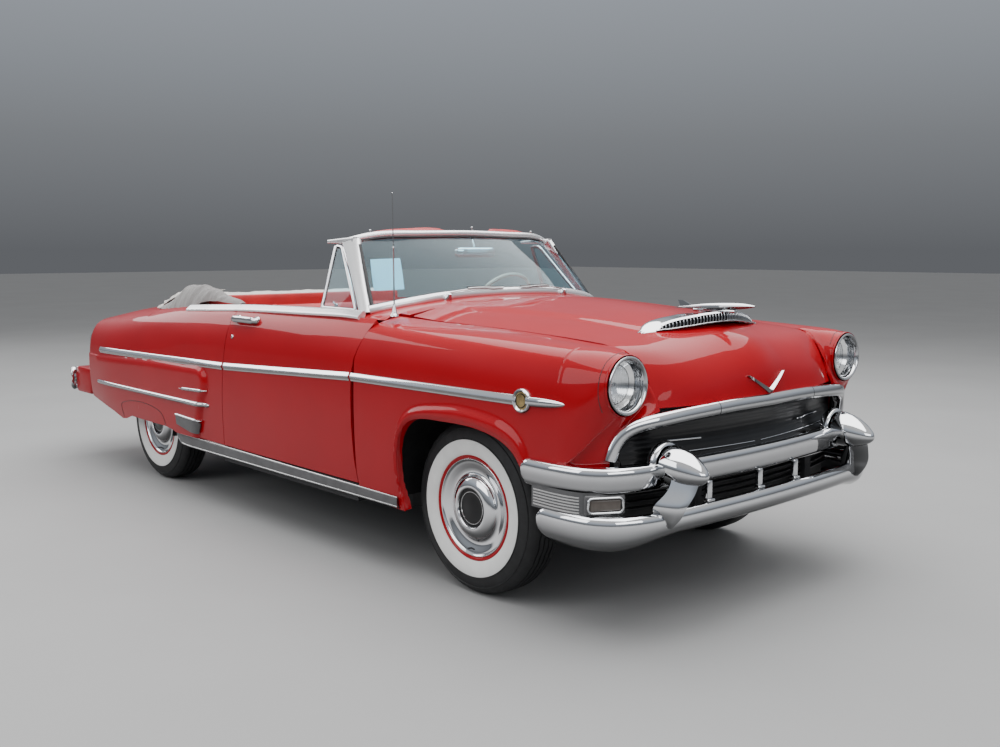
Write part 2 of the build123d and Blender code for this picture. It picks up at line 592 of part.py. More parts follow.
# Floor: side profile (y, z) of the pan, from the toe board to the trunk
FLOOR = [(-925, 520), (-800, 315), (585, 315), (700, 435), (1064, 535), (2340, 535)]
TUNNEL = [(-925, 200, 620), (-250, 150, 520), (720, 120, 480)]  # y, half width, top
with BuildPart() as tunnel_outer:
    for y, w, z in TUNNEL:
        with BuildSketch(sec_y(y)):
            Polygon((-w, 295), (w, 295), (w * 0.7, z), (-w * 0.7, z), align=None)
    loft(ruled=True)
with BuildPart() as tunnel:
    add(tunnel_outer.part)
    for y, w, z in TUNNEL:
        with BuildSketch(sec_y(-950 if y == -925 else y)):
            Polygon((-w + 16, 290), (w - 16, 290), (w * 0.7 - 12, z - 14), (-w * 0.7 + 12, z - 14), align=None)
    loft(ruled=True, mode=Mode.SUBTRACT)
with BuildPart() as floor_pan:
    with BuildSketch(sec_x(-718)):
        Polygon(*thick(FLOOR[:5], 15), align=None)
    extrude(amount=1436)
    with BuildSketch(sec_x(-555)):
        Polygon(*thick(FLOOR[4:], 15), align=None)
    extrude(amount=1110)
    add(tunnel_outer.part, mode=Mode.SUBTRACT)
    with Locations(at(0, -937.5, 455)):
        Box(400, 25, 330, mode=Mode.SUBTRACT)
with BuildPart() as sills:
    for s in (-1, 1):
        with Locations(at(s * 816, -197, 326)):
            Box(196, 1254, 78)

with BuildPart() as engine:
    with Locations(at(0, -1385, 715)):
        Box(580, 730, 590)

with BuildPart() as driveline:
    with BuildSketch(sec_y(-350)):
        with Locations((0, 375)):
            Circle(70)
    with BuildSketch(sec_y(-1018)):
        with Locations((0, 425)):
            Circle(135)
    loft(ruled=True)
    with BuildSketch(sec_y(1360)):
        with Locations((0, 370)):
            Circle(38)
    extrude(amount=1712)

# Axle half section (axial, radial): middle of the banjo, tube, backing plate, stub
AXLE = [(0, 0), (0, 138), (60, 138), (150, 60), (240, 40), (614, 40), (614, 138), (626, 138), (626, 20), (701, 20), (701, 0)]
with BuildPart() as rear_axle:
    with BuildSketch(Plane(origin=at(0, AXLE_R, TYRE_R), x_dir=(1, 0, 0), z_dir=(0, -1, 0))):
        Polygon(*AXLE, align=None)
    revolve(axis=Axis(at(0, AXLE_R, TYRE_R), (1, 0, 0)), revolution_arc=360)
    # leaf spring
    with BuildSketch(sec_x(489)):
        Polygon((930, 318), (1498, 284), (2080, 330), (2080, 352), (1600, 326), (1498, 330), (1400, 326), (930, 342), align=None)
    extrude(amount=52)
    mirror(about=Plane.YZ)

# Exhaust: runs (x, y from, y to, z, radius)
EXHAUST = [(-300, -980, -100, 218, 24), (-300, -100, 560, 190, 50), (-300, 560, 1790, 218, 24), (-300, 1790, 2560, 240, 24)]
with BuildPart() as exhaust:
    for x, y1, y2, z, r in EXHAUST:
        with BuildSketch(sec_y(y2)):
            with Locations((x, z)):
                Circle(r)
        extrude(amount=y2 - y1)
    with Locations(at(-300, -980, 310)):
        Cylinder(24, 200)

with BuildPart() as fuel_tank:
    with Locations(at(0, 2030, 410)):
        Box(760, 360, 200)

# ---- soft parts ---------------------------------------------------------------------------------------
FRONT_SEAT = [(-250, 350), (-250, 600), (-200, 660), (160, 640), (255, 1060), (290, 1122), (350, 1120), (372, 1060), (330, 350)]
REAR_SEAT = [(500, 545), (500, 640), (540, 680), (800, 655), (880, 1040), (910, 1080), (975, 1078), (985, 1040), (960, 560), (900, 545)]
with BuildPart() as front_seat:
    with BuildSketch(sec_x(-690)):
        Polygon(*FRONT_SEAT, align=None)
    extrude(amount=1380)
    with Locations(at(0, 60, 435)):
        Box(330, 700, 200, mode=Mode.SUBTRACT)
with BuildPart() as rear_seat:
    with BuildSketch(sec_x(-690)):
        Polygon(*REAR_SEAT, align=None)
    extrude(amount=1380)

STACK = [(1000, 860), (1000, 1120), (1040, 1168), (1240, 1186), (1400, 1160), (1462, 1110), (1462, 860)]
with BuildPart() as folded_top:
    with BuildSketch(sec_x(-690)):
        Polygon(*STACK, align=None)
    extrude(amount=1380)

with BuildPart() as antenna:
    with Locations(at(-800, -959, 1142)):
        Cylinder(16, 36)
    with Locations(at(-800, -959, 1410)):
        Cylinder(4, 520)

# ---- labels and files -----------------------------------------------------------------------------------
PIECES = [
    ("front_fender_left", front_fender_left), ("front_fender_right", front_fender_right), ("hood", hood), ("hood_scoop", hood_scoop),
    ("grille_surround", grille_surround), ("grille", grille), ("front_bumper", front_bumper), ("parking_lamps", parking_lamps),
    ("headlamps", headlamps), ("door_left", door_left), ("door_right", door_right), ("vent_window_left", vent_window_left),
    ("vent_window_right", vent_window_right), ("quarter_panel_left", quarter_panel_left), ("quarter_panel_right", quarter_panel_right),
    ("trunk_lid", trunk_lid), ("rear_deck", rear_deck), ("tail_panel", tail_panel), ("tail_lamps", tail_lamps),
    ("rear_bumper", rear_bumper), ("cowl", cowl), ("windshield_frame", windshield_frame), ("windshield_glass", windshield_glass),
    ("dashboard", dashboard), ("steering_column", steering_column), ("steering_wheel", steering_wheel), ("track_rod", track_rod),
    ("knuckle_left", knuckle_left), ("knuckle_right", knuckle_right), ("chassis_frame", chassis_frame),
    ("bumper_irons", bumper_irons), ("front_suspension", front_suspension), ("floor_pan", floor_pan),
    ("tunnel", tunnel), ("sills", sills), ("chassis_x_brace", chassis_x_brace),
    ("engine", engine), ("driveline", driveline), ("rear_axle", rear_axle), ("exhaust", exhaust), ("fuel_tank", fuel_tank),
    ("front_seat", front_seat), ("rear_seat", rear_seat), ("folded_top", folded_top), ("antenna", antenna),
]
for name, piece in PIECES:
    piece.part.label = name
    export_step(piece.part, "parts/" + name + ".step")
for piece in wheel_parts:
    export_step(piece, "parts/" + piece.label + ".step")
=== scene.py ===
import bpy
import bmesh
import math
import numpy as np
from mathutils.bvhtree import BVHTree
from mathutils import Vector, Matrix


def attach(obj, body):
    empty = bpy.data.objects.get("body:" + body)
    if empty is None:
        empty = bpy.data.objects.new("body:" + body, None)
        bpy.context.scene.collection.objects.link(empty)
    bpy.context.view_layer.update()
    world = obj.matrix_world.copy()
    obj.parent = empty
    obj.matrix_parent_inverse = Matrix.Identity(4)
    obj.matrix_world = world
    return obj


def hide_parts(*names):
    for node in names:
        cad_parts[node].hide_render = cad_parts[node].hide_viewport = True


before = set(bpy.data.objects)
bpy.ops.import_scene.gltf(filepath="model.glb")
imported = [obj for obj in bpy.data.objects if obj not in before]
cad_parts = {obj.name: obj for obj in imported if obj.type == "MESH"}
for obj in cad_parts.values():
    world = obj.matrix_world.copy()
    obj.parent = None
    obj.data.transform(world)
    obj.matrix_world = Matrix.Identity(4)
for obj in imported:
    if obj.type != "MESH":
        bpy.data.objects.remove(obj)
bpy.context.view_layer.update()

# Full-size 1950s convertible.  All tables below are millimetres, y measured from the middle of
# the wheelbase, front towards -Y, +X the car's left.  done() moves them into the frame, in metres.
Y0 = -0.113
AXLE_F, AXLE_R = -1498.5, 1498.5
WHEEL_X_F, WHEEL_X_R, WHEEL_Z = 736.5, 711.0, 363.0

# ============================================================================ curves and meshes


def nat(x, y, q):
    """Natural cubic spline through (x, y), read at q. y may have columns."""
    x, y, q = np.asarray(x, float), np.asarray(y, float), np.atleast_1d(np.asarray(q, float))
    n = len(x)
    shape = y.shape[1:]
    yy = y.reshape(n, -1)
    h = np.diff(x)
    A, B = np.zeros((n, n)), np.zeros((n, yy.shape[1]))
    A[0, 0] = A[-1, -1] = 1
    for i in range(1, n - 1):
        A[i, i - 1], A[i, i], A[i, i + 1] = h[i - 1], 2 * (h[i - 1] + h[i]), h[i]
        B[i] = 6 * ((yy[i + 1] - yy[i]) / h[i] - (yy[i] - yy[i - 1]) / h[i - 1])
    m = np.linalg.solve(A, B)
    k = np.clip(np.searchsorted(x, q) - 1, 0, n - 2)
    hk = h[k][:, None]
    b = ((q - x[k]) / h[k])[:, None]
    b = np.clip(b, -0.3, 1.3)
    a = 1 - b
    out = a * yy[k] + b * yy[k + 1] + ((a ** 3 - a) * m[k] + (b ** 3 - b) * m[k + 1]) * hk ** 2 / 6
    return out.reshape((len(q),) + shape)


def lin(x, y, q):
    """Straight runs through (x, y)."""
    y = np.asarray(y, float)
    if y.ndim == 1:
        return np.interp(q, x, y)
    return np.stack([np.interp(q, x, y[:, k]) for k in range(y.shape[1])], axis=1)


def curve(pts, n, smooth=True, closed=False):
    """n points along a curve through pts, evenly spaced."""
    p = np.asarray(pts, float)
    if closed:
        p = np.vstack([p[-2:], p, p[:3]])
    d = np.concatenate([[0], np.cumsum(np.linalg.norm(np.diff(p, axis=0), axis=1))])
    lo, hi = (d[2], d[-3]) if closed else (0, d[-1])
    t = np.linspace(lo, hi, 400)
    c = nat(d, p, t) if smooth else lin(d, p, t)
    s = np.concatenate([[0], np.cumsum(np.linalg.norm(np.diff(c, axis=0), axis=1))])
    q = np.linspace(0, s[-1], n + 1 if closed else n)
    if closed:
        q = q[:-1]
    return lin(s, c, q)


def sstep(t):
    t = np.clip(t, 0, 1)
    return t * t * (3 - 2 * t)


def sheet(P, closed_u=False, closed_v=False, flip=False):
    """Quad mesh from an n x m grid of points."""
    P = np.asarray(P, float)
    n, m = P.shape[:2]
    bm = bmesh.new()
    vs = [bm.verts.new(p) for p in P.reshape(-1, 3)]
    for i in range(n if closed_u else n - 1):
        for j in range(m if closed_v else m - 1):
            q = [vs[i * m + j], vs[((i + 1) % n) * m + j], vs[((i + 1) % n) * m + (j + 1) % m], vs[i * m + (j + 1) % m]]
            if flip:
                q.reverse()
            if len(set(q)) == 4:
                bm.faces.new(q)
    return bm


def smooth_prof(pts, n=36):
    return curve([(a, b, 0) for a, b in pts], n, closed=True)[:, :2]


def frames(path, out, closed=False):
    p = np.asarray(path, float)
    n = len(p)
    if closed:
        T = np.roll(p, -1, axis=0) - np.roll(p, 1, axis=0)
    else:
        T = np.gradient(p, axis=0)
    T /= np.linalg.norm(T, axis=1)[:, None] + 1e-12
    O = np.asarray(out, float)
    if O.ndim == 1:
        O = np.tile(O, (n, 1))
    N = O - (O * T).sum(1)[:, None] * T
    N /= np.linalg.norm(N, axis=1)[:, None] + 1e-12
    return T, N, np.cross(T, N)


def sweep(path, prof, out, closed=False, caps=True, scale=None, open_prof=False):
    """Profile (u along out, v across) carried along a path; scale is (su, sv) for each point."""
    p = np.asarray(path, float)
    T, N, B = frames(p, out, closed)
    pr = np.asarray(prof, float)
    P = np.zeros((len(p), len(pr), 3))
    for i in range(len(p)):
        su, sv = (1, 1) if scale is None else (scale[i] if np.ndim(scale[i]) else (scale[i], scale[i]))
        P[i] = p[i] + np.outer(pr[:, 0] * su, N[i]) + np.outer(pr[:, 1] * sv, B[i])
    bm = sheet(P, closed, not open_prof)
    if caps and not closed and not open_prof:
        bm.verts.ensure_lookup_table()
        m = len(pr)
        for s in (0, (len(p) - 1) * m):
            try:
                bm.faces.new([bm.verts[s + j] for j in range(m)])
            except ValueError:
                pass
    bmesh.ops.recalc_face_normals(bm, faces=bm.faces)
    return bm


def circle(r, n=16, ry=None):
    t = np.linspace(0, 2 * math.pi, n, endpoint=False)
    return np.stack([r * np.cos(t), (ry or r) * np.sin(t)], axis=1)


def rrect(w, h, r, k=4):
    """Rounded rectangle outline, centred."""
    pts = []
    r = min(r, w / 2 - 1e-3, h / 2 - 1e-3)
    for cx, cy, a0 in ((w / 2 - r, h / 2 - r, 0), (-w / 2 + r, h / 2 - r, 90), (-w / 2 + r, -h / 2 + r, 180), (w / 2 - r, -h / 2 + r, 270)):
        for i in range(k + 1):
            a = math.radians(a0 + 90 * i / k)
            pts.append((cx + r * math.cos(a), cy + r * math.sin(a)))
    return np.array(pts)


def tube(path, r, n=12, closed=False, out=(0.013, 0.021, 1), scale=None):
    return sweep(path, circle(r, n), out, closed, True, scale)


def lathe(prof, origin, axis, n=96, closed=False):
    """Revolve (along, radius) about an axis through origin."""
    ax = Vector(axis).normalized()
    u = ax.orthogonal().normalized()
    w = ax.cross(u)
    t = np.linspace(0, 2 * math.pi, n, endpoint=False)
    o, ax, u, w = (np.array(v, float) for v in (origin, ax, u, w))
    P = np.zeros((n, len(prof), 3))
    for i, a in enumerate(t):
        d = math.cos(a) * u + math.sin(a) * w
        for j, (l, r) in enumerate(prof):
            P[i, j] = o + ax * l + d * max(r, 1e-4)
    bm = sheet(P, True, closed)
    bmesh.ops.remove_doubles(bm, verts=bm.verts, dist=2e-3)
    bmesh.ops.recalc_face_normals(bm, faces=bm.faces)
    return bm


def rbox(c, d, r=4.0, seg=2, rot=None):
    """Box with rounded edges."""
    bm = bmesh.new()
    bmesh.ops.create_cube(bm, size=1)
    for v in bm.verts:
        v.co = Vector((v.co.x * d[0], v.co.y * d[1], v.co.z * d[2]))
    if r > 0:
        bmesh.ops.bevel(bm, geom=bm.edges, offset=min(r, min(d) * 0.45), segments=seg, affect="EDGES", profile=0.5)
    M = Matrix.Translation(c)
    if rot:
        M = M @ rot
    bmesh.ops.transform(bm, matrix=M, verts=bm.verts)
    return bm


def slab(poly, axis, a, b, r=2.0, seg=2):
    """Flat outline extruded from a to b along axis (0, 1, 2), edges rounded by r."""
    idx = [k for k in range(3) if k != axis]
    bm = bmesh.new()
    rings = []
    for w in (a, b):
        ring = []
        for p in poly:
            co = [0, 0, 0]
            co[axis] = w
            co[idx[0]], co[idx[1]] = p
            ring.append(bm.verts.new(co))
        rings.append(ring)
    n = len(poly)
    for i in range(n):
        bm.faces.new([rings[0][i], rings[0][(i + 1) % n], rings[1][(i + 1) % n], rings[1][i]])
    bm.faces.new(rings[0][::-1])
    bm.faces.new(rings[1])
    bmesh.ops.recalc_face_normals(bm, faces=bm.faces)
    if r:
        ed = [e for e in bm.edges if len(e.link_faces) == 2 and e.calc_face_angle(0) > 0.6]
        bmesh.ops.bevel(bm, geom=ed, offset=r, segments=seg, affect="EDGES", profile=0.5)
    return bm


def loft(sections, caps=True, n=None):
    """Body through closed outlines with equal point counts; n resamples smoothly between them."""
    P = np.asarray(sections, float)
    if n:
        c = P.mean(axis=1)
        d = np.concatenate([[0], np.cumsum(np.linalg.norm(np.diff(c, axis=0), axis=1) + 1e-6)])
        P = nat(d, P, np.linspace(0, d[-1], n))
    bm = sheet(P, False, True)
    if caps:
        bm.verts.ensure_lookup_table()
        m = P.shape[1]
        for s in (0, (len(P) - 1) * m):
            bm.faces.new([bm.verts[s + j] for j in range(m)])
    bmesh.ops.recalc_face_normals(bm, faces=bm.faces)
    return bm


def inside(poly, a, b):
    k, c = len(poly) - 1, False
    for i in range(len(poly)):
        (x1, y1), (x2, y2) = poly[i], poly[k]
        if (y1 > b) != (y2 > b) and a < (x2 - x1) * (b - y1) / (y2 - y1) + x1:
            c = not c
        k = i
    return c


def knife(bm, poly, keep_inside=True, axes=(1, 2)):
    """Cuts a sheet along a closed outline seen along the third axis, and drops one side."""
    A, B = axes
    poly = [tuple(p) for p in poly]
    reach = max((max((v.co - f.verts[0].co).length for v in f.verts) for f in bm.faces), default=10) + 1
    for i in range(len(poly)):
        p, q = poly[i], poly[(i + 1) % len(poly)]
        if math.hypot(p[0] - q[0], p[1] - q[1]) < 1e-6:
            continue
        lo = (min(p[0], q[0]) - reach, min(p[1], q[1]) - reach)
        hi = (max(p[0], q[0]) + reach, max(p[1], q[1]) + reach)
        fs = []
        for f in bm.faces:
            c = f.verts[0].co
            if lo[0] <= c[A] <= hi[0] and lo[1] <= c[B] <= hi[1]:
                fs.append(f)
        if not fs:
            continue
        geom = set(fs)
        for f in fs:
            geom.update(f.edges)
            geom.update(f.verts)
        co, no = [0, 0, 0], [0, 0, 0]
        co[A], co[B] = p
        no[A], no[B] = q[1] - p[1], p[0] - q[0]
        bmesh.ops.bisect_plane(bm, geom=list(geom), dist=0.01, plane_co=co, plane_no=no)
    drop = []
    for f in bm.faces:
        c = f.calc_center_median()
        if inside(poly, c[A], c[B]) != keep_inside:
            drop.append(f)
    bmesh.ops.delete(bm, geom=drop, context="FACES")


def hem(bm, depth=14.0, r=2.0, skip=None):
    """Turns the open edges of a sheet inwards with a small radius. skip(co) leaves an edge open."""
    bm.normal_update()
    edges = [e for e in bm.edges if len(e.link_faces) == 1 and not (skip and skip((e.verts[0].co + e.verts[1].co) / 2))]
    info = {}
    for e in edges:
        f = e.link_faces[0]
        d = e.verts[1].co - e.verts[0].co
        if d.length < 1e-9:
            continue
        t = d.cross(f.normal).normalized()
        if t.dot(e.verts[0].co - f.calc_center_median()) < 0:
            t = -t
        for v in e.verts:
            a = info.setdefault(v, [Vector(), Vector()])
            a[0] += t
            a[1] += f.normal
    steps = [(0.35 * r, 0.1 * r), (0.8 * r, 0.45 * r), (r, 1.2 * r), (r, depth)]
    prev = {v: v for v in info}
    for out, down in steps:
        new = {}
        for v, (t, nn) in info.items():
            tt = t.normalized() if t.length > 1e-6 else Vector()
            nn = nn.normalized()
            new[v] = bm.verts.new(v.co + tt * (out - r) - nn * down)
        for e in edges:
            a, b = e.verts
            if a not in info or b not in info:
                continue
            f = e.link_faces[0]
            order = [l.vert for l in f.loops]
            q = [prev[a], prev[b], new[b], new[a]]
            i = order.index(a)
            if order[(i + 1) % len(order)] == b:
                q.reverse()
            try:
                bm.faces.new(q)
            except ValueError:
                pass
        prev = new
    bm.normal_update()
    return bm


def solid(bm, t):
    """Gives a sheet a thickness on its back."""
    bm.normal_update()
    bmesh.ops.solidify(bm, geom=bm.faces[:], thickness=t)
    bm.normal_update()
    return bm


def facing(bm, ref):
    """Turns a sheet so its faces look along ref."""
    bm.normal_update()
    r = Vector(ref)
    if sum(f.normal.dot(r) * f.calc_area() for f in bm.faces) < 0:
        bmesh.ops.reverse_faces(bm, faces=bm.faces)
        bm.normal_update()
    return bm


def mirror_bm(bm):
    new = bm.copy()
    for v in new.verts:
        v.co.x = -v.co.x
    bmesh.ops.reverse_faces(new, faces=new.faces)
    return new


class Piece:
    """One named visual piece made of several shapes and materials."""

    def __init__(self, name, body, slot=None, replaces=()):
        self.name, self.body, self.slot, self.replaces = name, body, slot, replaces
        self.bm, self.mats = bmesh.new(), []

    def add(self, bm, mat, mirror=False, sharp=38.0):
        if mat not in self.mats:
            self.mats.append(mat)
        k = self.mats.index(mat)
        todo = [bm, mirror_bm(bm)] if mirror else [bm]
        for b in todo:
            b.normal_update()
            lim = math.radians(sharp)
            for f in b.faces:
                f.material_index = k
                f.smooth = True
            for e in b.edges:
                e.smooth = not (len(e.link_faces) == 2 and e.calc_face_angle(0) > lim)
            me = bpy.data.meshes.new("tmp")
            b.to_mesh(me)
            self.bm.from_mesh(me)
            bpy.data.meshes.remove(me)
            b.free()
        return self

    def _object(self, name, body, flip, replaces):
        bm = self.bm.copy()
        s = -0.001 if flip else 0.001
        for v in bm.verts:
            v.co = Vector((v.co.x * s, v.co.y * 0.001 + Y0, v.co.z * 0.001))
        if flip:
            bmesh.ops.reverse_faces(bm, faces=bm.faces)
        me = bpy.data.meshes.new(name)
        bm.to_mesh(me)
        bm.free()
        for m in self.mats:
            me.materials.append(m)
        ob = bpy.data.objects.new(name, me)
        bpy.context.scene.collection.objects.link(ob)
        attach(ob, body)
        if replaces:
            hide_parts(*replaces)
        return ob

    def done(self):
        return self._object(self.name, self.body, False, self.replaces)

    def pair(self):
        """The shapes are those of the left side: makes the left piece and its mirror image."""
        out = []
        for side, flip in (("left", False), ("right", True)):
            body = self.body.replace("SIDE", side)
            rep = [r.replace("SIDE", side) for r in self.replaces]
            out.append(self._object(self.name.replace("SIDE", side), body, flip, rep))
        return out


# ============================================================================ materials


def material(name, color, rough=0.5, metal=0.0, coat=0.0, coat_rough=0.03, vary=0.08, scale=8.0, bump=0.0, bump_scale=60.0,
             rough_vary=0.0, sheen=0.0, trans=0.0, ior=1.45, spec=0.5, kind="noise", stretch=(1, 1, 1), detail=4.0, dark=None, emit=None, down_shade=None):
    m = bpy.data.materials.new(name)
    m.use_nodes = True
    nt = m.node_tree
    b = nt.nodes["Principled BSDF"]
    tc = nt.nodes.new("ShaderNodeTexCoord")
    mp = nt.nodes.new("ShaderNodeMapping")
    mp.inputs["Scale"].default_value = stretch
    nt.links.new(tc.outputs["Object"], mp.inputs["Vector"])
    no = nt.nodes.new("ShaderNodeTexNoise")
    no.inputs["Scale"].default_value = scale
    no.inputs["Detail"].default_value = detail
    nt.links.new(mp.outputs["Vector"], no.inputs["Vector"])
    ramp = nt.nodes.new("ShaderNodeValToRGB")
    c = np.array(color[:3], float)
    d = np.array(dark[:3], float) if dark else np.clip(c * (1 - vary), 0, 1)
    l = np.clip(c * (1 + vary), 0, 1)
    ramp.color_ramp.elements[0].position, ramp.color_ramp.elements[1].position = 0.32, 0.68
    ramp.color_ramp.elements[0].color = (*d, 1)
    ramp.color_ramp.elements[1].color = (*l, 1)
    nt.links.new(no.outputs["Fac"], ramp.inputs["Fac"])
    nt.links.new(ramp.outputs["Color"], b.inputs["Base Color"])
    if down_shade:
        # painted shade: base colour darkened on faces that look down, standing in for the dark ground the metal would
        # mirror there
        ge = nt.nodes.new("ShaderNodeNewGeometry")
        sx = nt.nodes.new("ShaderNodeSeparateXYZ")
        nt.links.new(ge.outputs["Normal"], sx.inputs["Vector"])
        mu = nt.nodes.new("ShaderNodeMapRange")
        mu.interpolation_type = "SMOOTHSTEP"
        mu.inputs["From Min"].default_value, mu.inputs["From Max"].default_value = -0.42, 0.16
        mu.inputs["To Min"].default_value, mu.inputs["To Max"].default_value = down_shade, 1.0
        nt.links.new(sx.outputs["Z"], mu.inputs["Value"])
        vm = nt.nodes.new("ShaderNodeVectorMath")
        vm.operation = "SCALE"
        nt.links.new(ramp.outputs["Color"], vm.inputs[0])
        nt.links.new(mu.outputs["Result"], vm.inputs["Scale"])
        nt.links.new(vm.outputs["Vector"], b.inputs["Base Color"])
    b.inputs["Metallic"].default_value = metal
    b.inputs["Roughness"].default_value = rough
    b.inputs["Coat Weight"].default_value = coat
    b.inputs["Coat Roughness"].default_value = coat_rough
    b.inputs["Sheen Weight"].default_value = sheen
    b.inputs["Transmission Weight"].default_value = trans
    b.inputs["IOR"].default_value = ior
    b.inputs["Specular IOR Level"].default_value = spec
    if emit:
        b.inputs["Emission Color"].default_value = (*emit[:3], 1)
        b.inputs["Emission Strength"].default_value = emit[3]
    if rough_vary:
        n2 = nt.nodes.new("ShaderNodeTexNoise")
        n2.inputs["Scale"].default_value = scale * 3.1
        n2.inputs["Detail"].default_value = 6
        nt.links.new(mp.outputs["Vector"], n2.inputs["Vector"])
        mr = nt.nodes.new("ShaderNodeMapRange")
        mr.inputs["To Min"].default_value = max(rough - rough_vary, 0.01)
        mr.inputs["To Max"].default_value = rough + rough_vary
        nt.links.new(n2.outputs["Fac"], mr.inputs["Value"])
        nt.links.new(mr.outputs["Result"], b.inputs["Roughness"])
    if bump:
        bp = nt.nodes.new("ShaderNodeBump")
        bp.inputs["Strength"].default_value = bump
        bp.inputs["Distance"].default_value = 0.001
        if kind == "weave":
            ws = []
            for k, ax in enumerate(("X", "Y")):
                w = nt.nodes.new("ShaderNodeTexWave")
                w.bands_direction = ax
                w.inputs["Scale"].default_value = bump_scale
                w.inputs["Distortion"].default_value = 0.6
                nt.links.new(mp.outputs["Vector"], w.inputs["Vector"])
                ws.append(w)
            mx = nt.nodes.new("ShaderNodeMath")
            mx.operation = "MAXIMUM"
            nt.links.new(ws[0].outputs["Fac"], mx.inputs[0])
            nt.links.new(ws[1].outputs["Fac"], mx.inputs[1])
            src = mx.outputs[0]
        elif kind == "leather":
            v = nt.nodes.new("ShaderNodeTexVoronoi")
            v.feature = "DISTANCE_TO_EDGE"
            v.inputs["Scale"].default_value = bump_scale
            nt.links.new(mp.outputs["Vector"], v.inputs["Vector"])
            src = v.outputs["Distance"]
        elif kind == "lines":
            w = nt.nodes.new("ShaderNodeTexWave")
            w.bands_direction = "X"
            w.inputs["Scale"].default_value = bump_scale
            nt.links.new(mp.outputs["Vector"], w.inputs["Vector"])
            src = w.outputs["Fac"]
        else:
            n3 = nt.nodes.new("ShaderNodeTexNoise")
            n3.inputs["Scale"].default_value = bump_scale
            n3.inputs["Detail"].default_value = 5
            nt.links.new(mp.outputs["Vector"], n3.inputs["Vector"])
            src = n3.outputs["Fac"]
        nt.links.new(src, bp.inputs["Height"])
        nt.links.new(bp.outputs["Normal"], b.inputs["Normal"])
    return m


RED = (0.33, 0.0026, 0.0080)
M = {
    "paint": material("body_enamel", RED, 0.38, coat=0.5, coat_rough=0.015, vary=0.04, scale=3, rough_vary=0.03, spec=0.04),
    "paint_in": material("inner_enamel", (0.24, 0.003, 0.004), 0.45, vary=0.15, scale=9, bump=0.15, bump_scale=120, rough_vary=0.08),
    # chrome and stainless trim: their last argument paints shade onto the faces that look down
    "chrome": material("chrome_plate", (0.88, 0.89, 0.91), 0.045, metal=1.0, vary=0.03, scale=5, rough_vary=0.02, down_shade=0.18),
    "steel": material("stainless_trim", (0.62, 0.62, 0.62), 0.17, metal=1.0, vary=0.05, scale=14, rough_vary=0.05, down_shade=0.45),
    "grey": material("grey_paint", (0.105, 0.105, 0.108), 0.38, metal=0.3, vary=0.12, scale=18, rough_vary=0.08),
    "black": material("gloss_black", (0.008, 0.008, 0.009), 0.32, coat=0.15, vary=0.2, scale=10, rough_vary=0.04, spec=0.3),
    "dull": material("underbody_black", (0.018, 0.018, 0.019), 0.75, vary=0.3, scale=14, bump=0.4, bump_scale=90, rough_vary=0.1),
    "rubber": material("tyre_rubber", (0.016, 0.016, 0.017), 0.62, vary=0.2, scale=25, bump=0.15, bump_scale=240, rough_vary=0.08),
    "white": material("white_sidewall", (0.80, 0.80, 0.78), 0.55, vary=0.035, scale=22, bump=0.08, bump_scale=200, rough_vary=0.06),
    "seal": material("rubber_seal", (0.02, 0.02, 0.022), 0.55, vary=0.2, scale=40, rough_vary=0.1),
    "glass": material("tinted_glass", (0.67, 0.90, 0.98), 0.0, trans=1.0, vary=0.02, scale=2, ior=1.2),
    "bright": material("bright_trim", (0.90, 0.90, 0.91), 0.24, metal=0.72, vary=0.03, scale=5),
    "lens": material("lamp_lens", (0.97, 0.98, 0.99), 0.02, trans=1.0, vary=0.01, scale=3, bump=0.5, bump_scale=26, kind="lines", ior=1.45),
    "reflector": material("lamp_reflector", (0.88, 0.89, 0.90), 0.12, metal=1.0, vary=0.04, scale=20, bump=0.3, bump_scale=60, rough_vary=0.05),
    "red_lens": material("tail_lens", (0.42, 0.006, 0.006), 0.08, coat=0.8, vary=0.15, scale=30, bump=0.3, bump_scale=50, kind="lines"),
    "clear_lens": material("parking_lens", (0.075, 0.060, 0.050), 0.10, coat=0.8, vary=0.12, scale=40, bump=0.4, bump_scale=70, kind="lines"),
    "vinyl": material("red_vinyl", (0.42, 0.010, 0.012), 0.42, coat=0.12, coat_rough=0.3, vary=0.12, scale=7, bump=0.35, bump_scale=420, kind="leather", rough_vary=0.08),
    "vinyl2": material("red_pleat_vinyl", (0.50, 0.018, 0.020), 0.45, coat=0.1, coat_rough=0.3, vary=0.12, scale=9, bump=0.3, bump_scale=500, kind="leather", rough_vary=0.08),
    "carpet": material("red_carpet", (0.16, 0.010, 0.012), 0.95, sheen=0.3, vary=0.3, scale=60, bump=0.9, bump_scale=500),
    "cloth": material("grey_boot_cloth", (0.20, 0.19, 0.185), 0.88, sheen=0.35, vary=0.14, scale=6, bump=0.5, bump_scale=330, kind="weave", rough_vary=0.06),
    "cloth2": material("pale_lining_cloth", (0.62, 0.60, 0.56), 0.9, sheen=0.3, vary=0.08, scale=8, bump=0.4, bump_scale=330, kind="weave"),
    "cream": material("cream_plastic", (0.60, 0.55, 0.44), 0.22, coat=0.5, vary=0.08, scale=12, rough_vary=0.05),
    "paper": material("pale_blue_paper", (0.55, 0.86, 0.98), 0.85, vary=0.05, scale=9, bump=0.2, bump_scale=120),
    "dial": material("dial_face", (0.05, 0.05, 0.055), 0.3, coat=0.8, vary=0.3, scale=60, rough_vary=0.05),
    "iron": material("engine_enamel", (0.07, 0.07, 0.075), 0.5, vary=0.3, scale=9, bump=0.6, bump_scale=60, rough_vary=0.12),
    "alloy": material("dull_steel", (0.30, 0.29, 0.28), 0.4, metal=1.0, vary=0.2, scale=18, bump=0.3, bump_scale=80, rough_vary=0.12),
    "gold": material("medallion_brass", (0.45, 0.33, 0.15), 0.3, metal=1.0, vary=0.25, scale=60, rough_vary=0.08),
}
